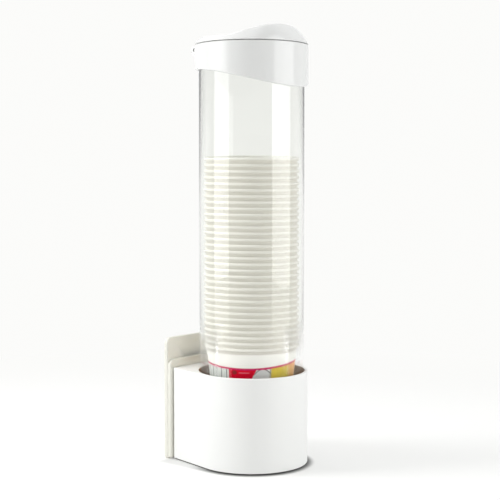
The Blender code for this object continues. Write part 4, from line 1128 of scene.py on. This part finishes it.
def make_floor():
    """Wide floor, white far off, shaded near the object, with a contact shadow painted dark into its colour where
    the base meets it.

    Gloss mirrors the room and not the floor.
    """
    studio = settings().studio
    paint, place = coat("floor_card")
    dull, bright = (0.82, 0.82, 0.81), (0.84, 0.84, 0.83)
    tint = paint.mix(paint.noise(place, 2.0, 2.0), dull, bright)
    seen = paint.seen()
    x, y, _ = paint.split(place)
    axis_y = float(AXIS[1])
    ahead = paint.math("MINIMUM", y - axis_y, 0.0)
    beside = paint.math("SQRT", x * x + ahead * ahead) - float(HOUSING_HIGH[0])
    outside = paint.math("MAXIMUM", beside, y - float(HOUSING_HIGH[1]))
    weaker_behind = 1 - paint.rise(y, axis_y, axis_y + 0.03) * 0.75
    # painted shadow: for camera rays the floor's colour turns dark within this width round the base's outline,
    # weaker behind the axis
    painted_contact_shadow = seen * weaker_behind * paint.fall(outside, 0.0, studio.painted_contact_shadow) * 0.85
    tint = paint.mix(painted_contact_shadow, tint, (0.0, 0.0, 0.0))
    glow = seen * studio.floor_glow * (1 - painted_contact_shadow)
    paint.finish(Base_Color=tint, Roughness=0.6, Emission_Strength=1.0,
                 Emission_Color=paint.mix(glow, (0, 0, 0), studio.backdrop))
    far = paint.math("SQRT", x * x + y * y)
    share = seen * paint.rise(far, studio.floor_near, studio.floor_far)
    paint.cover(share, paint.node("ShaderNodeEmission", None, {0: (*studio.backdrop, 1), 1: 1.0}))
    paint.through(paint.ray("Glossy"))
    steps = np.array([-6.0, 0.0, 6.0])
    mesh = grid(stacked(steps[:, None], steps, 0.0), joined=False)
    mesh.name = "floor_card"
    mesh.materials.append(paint.owner)
    floor = add_object("floor_card", mesh)


def make_room():
    """World that is white where it is seen, and a dimmer room where it lights.

    The room's light falls off towards the camera, in proportion to the cosine.
    Gloss mirrors a white backdrop behind the object and a dark room in front.
    """
    studio = settings().studio
    world = bpy.data.worlds.new("studio_room")
    paint = Paint(world)
    seen = paint.seen()
    camera = (math.sin(studio.azimuth), -math.cos(studio.azimuth), 0)
    toward = paint.value("ShaderNodeVectorMath", {0: paint.place("Generated"), 1: camera},
                         {"operation": "DOT_PRODUCT"}, "Value")
    room = studio.ambient * (1 - studio.dark_front * toward)
    mirrored = paint.rise(toward, 0.1, -0.5, 0.04, 0.9)
    glossy = paint.ray("Glossy")
    room = room + glossy * (mirrored - room)
    paint.finish(Color=paint.mix(seen, (0.99, 1.0, 1.0), studio.backdrop),
                 Strength=seen + (1 - seen) * room)
    bpy.context.scene.world = world


def softbox(name, side_angle, lift, distance, width, height, radiance, aim, seen):
    """Large soft light, placed by its angle to the left of the camera's direction.

    It faces the tube's axis at the height of its aim. A mirrored light is seen
    in gloss only, a soft light shades only, and the light overhead does both.
    """
    angle = settings().studio.azimuth - math.pi / 2 - side_angle
    middle = Vector((AXIS[0], AXIS[1], aim))
    place = Vector((AXIS[0] + math.cos(angle) * distance, AXIS[1] + math.sin(angle) * distance, lift))
    light = bpy.data.lights.new(name, "AREA")
    light.shape = "RECTANGLE"
    light.size = width
    light.size_y = height
    light.energy = radiance * 4 * width * height
    lamp = add_object(name, light)
    lamp.location = place
    lamp.rotation_euler = (middle - place).to_track_quat("-Z", "Y").to_euler()
    lamp.visible_camera = False
    lamp.visible_glossy = lamp.visible_transmission = seen != "soft"
    lamp.visible_diffuse = seen != "mirrored"


def make_lights():
    """Two tall panels that the gloss mirrors, and soft lights at the sides, in front and overhead."""
    studio = settings().studio
    for name, side_degrees, lift, distance, width, height, radiance, aim, seen in (
            ("panel_left", 69.5, 0.65, 0.95, 0.66, 1.26, studio.left_panel, 0.65, "mirrored"),
            ("panel_right", -68, 0.95, 0.95, 0.82, 1.9, studio.right_panel, 0.95, "mirrored"),
            ("light_left", 86, 0.6, 0.95, 0.4, 1.06, studio.left_side, 0.55, "soft"),
            ("light_right", -90, 0.55, 0.95, 0.4, 1.06, studio.right_side, 0.55, "soft"),
            ("light_front", -22, 0.5, 1.4, 1.0, 0.8, studio.front, 0.2, "soft"),
            ("light_top", 100, 1.3, 0.35, 1.2, 1.2, studio.top, 0.2, "both")):
        softbox(name, math.radians(side_degrees), lift, distance, width, height, radiance, aim, seen)


def make_camera():
    """Camera on the photograph's side, held by its azimuth, distance, height and pitch."""
    studio = settings().studio
    left_shift = 0.00131
    camera = add_object("camera", bpy.data.cameras.new("camera"))
    camera.data.lens = studio.lens
    back = Vector((math.sin(studio.azimuth), -math.cos(studio.azimuth), 0))
    right = Vector((math.cos(studio.azimuth), math.sin(studio.azimuth), 0))
    camera.location = Vector((AXIS[0], AXIS[1], 0)) + back * studio.distance - right * left_shift
    camera.location.z = studio.height
    camera.rotation_euler = (math.pi / 2 - studio.pitch, 0, studio.azimuth)
    bpy.context.scene.camera = camera


class Maker:
    """What all operators here share."""

    bl_options = {"REGISTER", "UNDO"}


class DISPENSER_OT_stage(Maker, bpy.types.Operator):
    """Add the floor, the room, the lights and the camera"""

    bl_idname = "dispenser.stage"
    bl_label = "Studio"

    def execute(self, context):
        context.scene.view_settings.view_transform = "Standard"
        make_camera()
        make_floor()
        make_room()
        make_lights()
        return {"FINISHED"}


class DISPENSER_OT_housing(Maker, bpy.types.Operator):
    """Add the base housing with its throat, ledge and neck"""

    bl_idname = "dispenser.housing"
    bl_label = "Base Housing"

    def execute(self, context):
        make_housing()
        return {"FINISHED"}


class DISPENSER_OT_tube(Maker, bpy.types.Operator):
    """Add the clear tube"""

    bl_idname = "dispenser.tube"
    bl_label = "Clear Tube"

    def execute(self, context):
        make_tube()
        return {"FINISHED"}


class DISPENSER_OT_top(Maker, bpy.types.Operator):
    """Add the collar, the flip lid and the hinge pin"""

    bl_idname = "dispenser.top"
    bl_label = "Collar and Lid"

    def execute(self, context):
        make_collar()
        make_lid()
        make_hinge_pin()
        return {"FINISHED"}


class DISPENSER_OT_plate(Maker, bpy.types.Operator):
    """Add the wall plate with its hanger block and hooks"""

    bl_idname = "dispenser.plate"
    bl_label = "Wall Plate"

    def execute(self, context):
        make_plate()
        return {"FINISHED"}


class DISPENSER_OT_cups(Maker, bpy.types.Operator):
    """Add the stack of paper cups"""

    bl_idname = "dispenser.cups"
    bl_label = "Paper Cups"

    def execute(self, context):
        make_cups()
        return {"FINISHED"}


class DISPENSER_OT_mechanism(Maker, bpy.types.Operator):
    """Finish the claws and their carrier, and add the springs and screws"""

    bl_idname = "dispenser.mechanism"
    bl_label = "Cup Release"

    def execute(self, context):
        make_mechanism()
        make_screws()
        make_springs()
        return {"FINISHED"}


class DISPENSER_PT_panel(bpy.types.Panel):
    """Lists the dispenser's operators and sizes"""

    bl_idname = "DISPENSER_PT_panel"
    bl_label = "Cup Dispenser"
    bl_space_type = "VIEW_3D"
    bl_region_type = "UI"
    bl_category = "Cup Dispenser"

    def draw(self, context):
        for operator in OPERATORS:
            self.layout.operator(operator.bl_idname)
        for name in ("housing", "top", "plate", "cup", "finish", "studio"):
            group = getattr(context.scene.cup_dispenser, name)
            column = self.layout.column()
            for key in group.__annotations__:
                column.prop(group, key)


GROUPS = (HousingSizes, TopSizes, PlateSizes, CupSizes, Finishes, Studio, Settings)
OPERATORS = (DISPENSER_OT_stage, DISPENSER_OT_housing, DISPENSER_OT_tube, DISPENSER_OT_top,
             DISPENSER_OT_plate, DISPENSER_OT_cups, DISPENSER_OT_mechanism)


def register():
    """Registers the add-on's classes and its settings."""
    for entry in (*GROUPS, *OPERATORS, DISPENSER_PT_panel):
        bpy.utils.register_class(entry)
    bpy.types.Scene.cup_dispenser = PointerProperty(type=Settings)


def unregister():
    """Takes back what register did."""
    del bpy.types.Scene.cup_dispenser
    for entry in reversed((*GROUPS, *OPERATORS, DISPENSER_PT_panel)):
        bpy.utils.unregister_class(entry)


def main():
    """Builds the dispenser and its studio."""
    register()
    bpy.ops.dispenser.stage()
    bpy.ops.dispenser.housing()
    bpy.ops.dispenser.tube()
    bpy.ops.dispenser.top()
    bpy.ops.dispenser.plate()
    bpy.ops.dispenser.cups()
    bpy.ops.dispenser.mechanism()


if __name__ == "__main__":
    main()
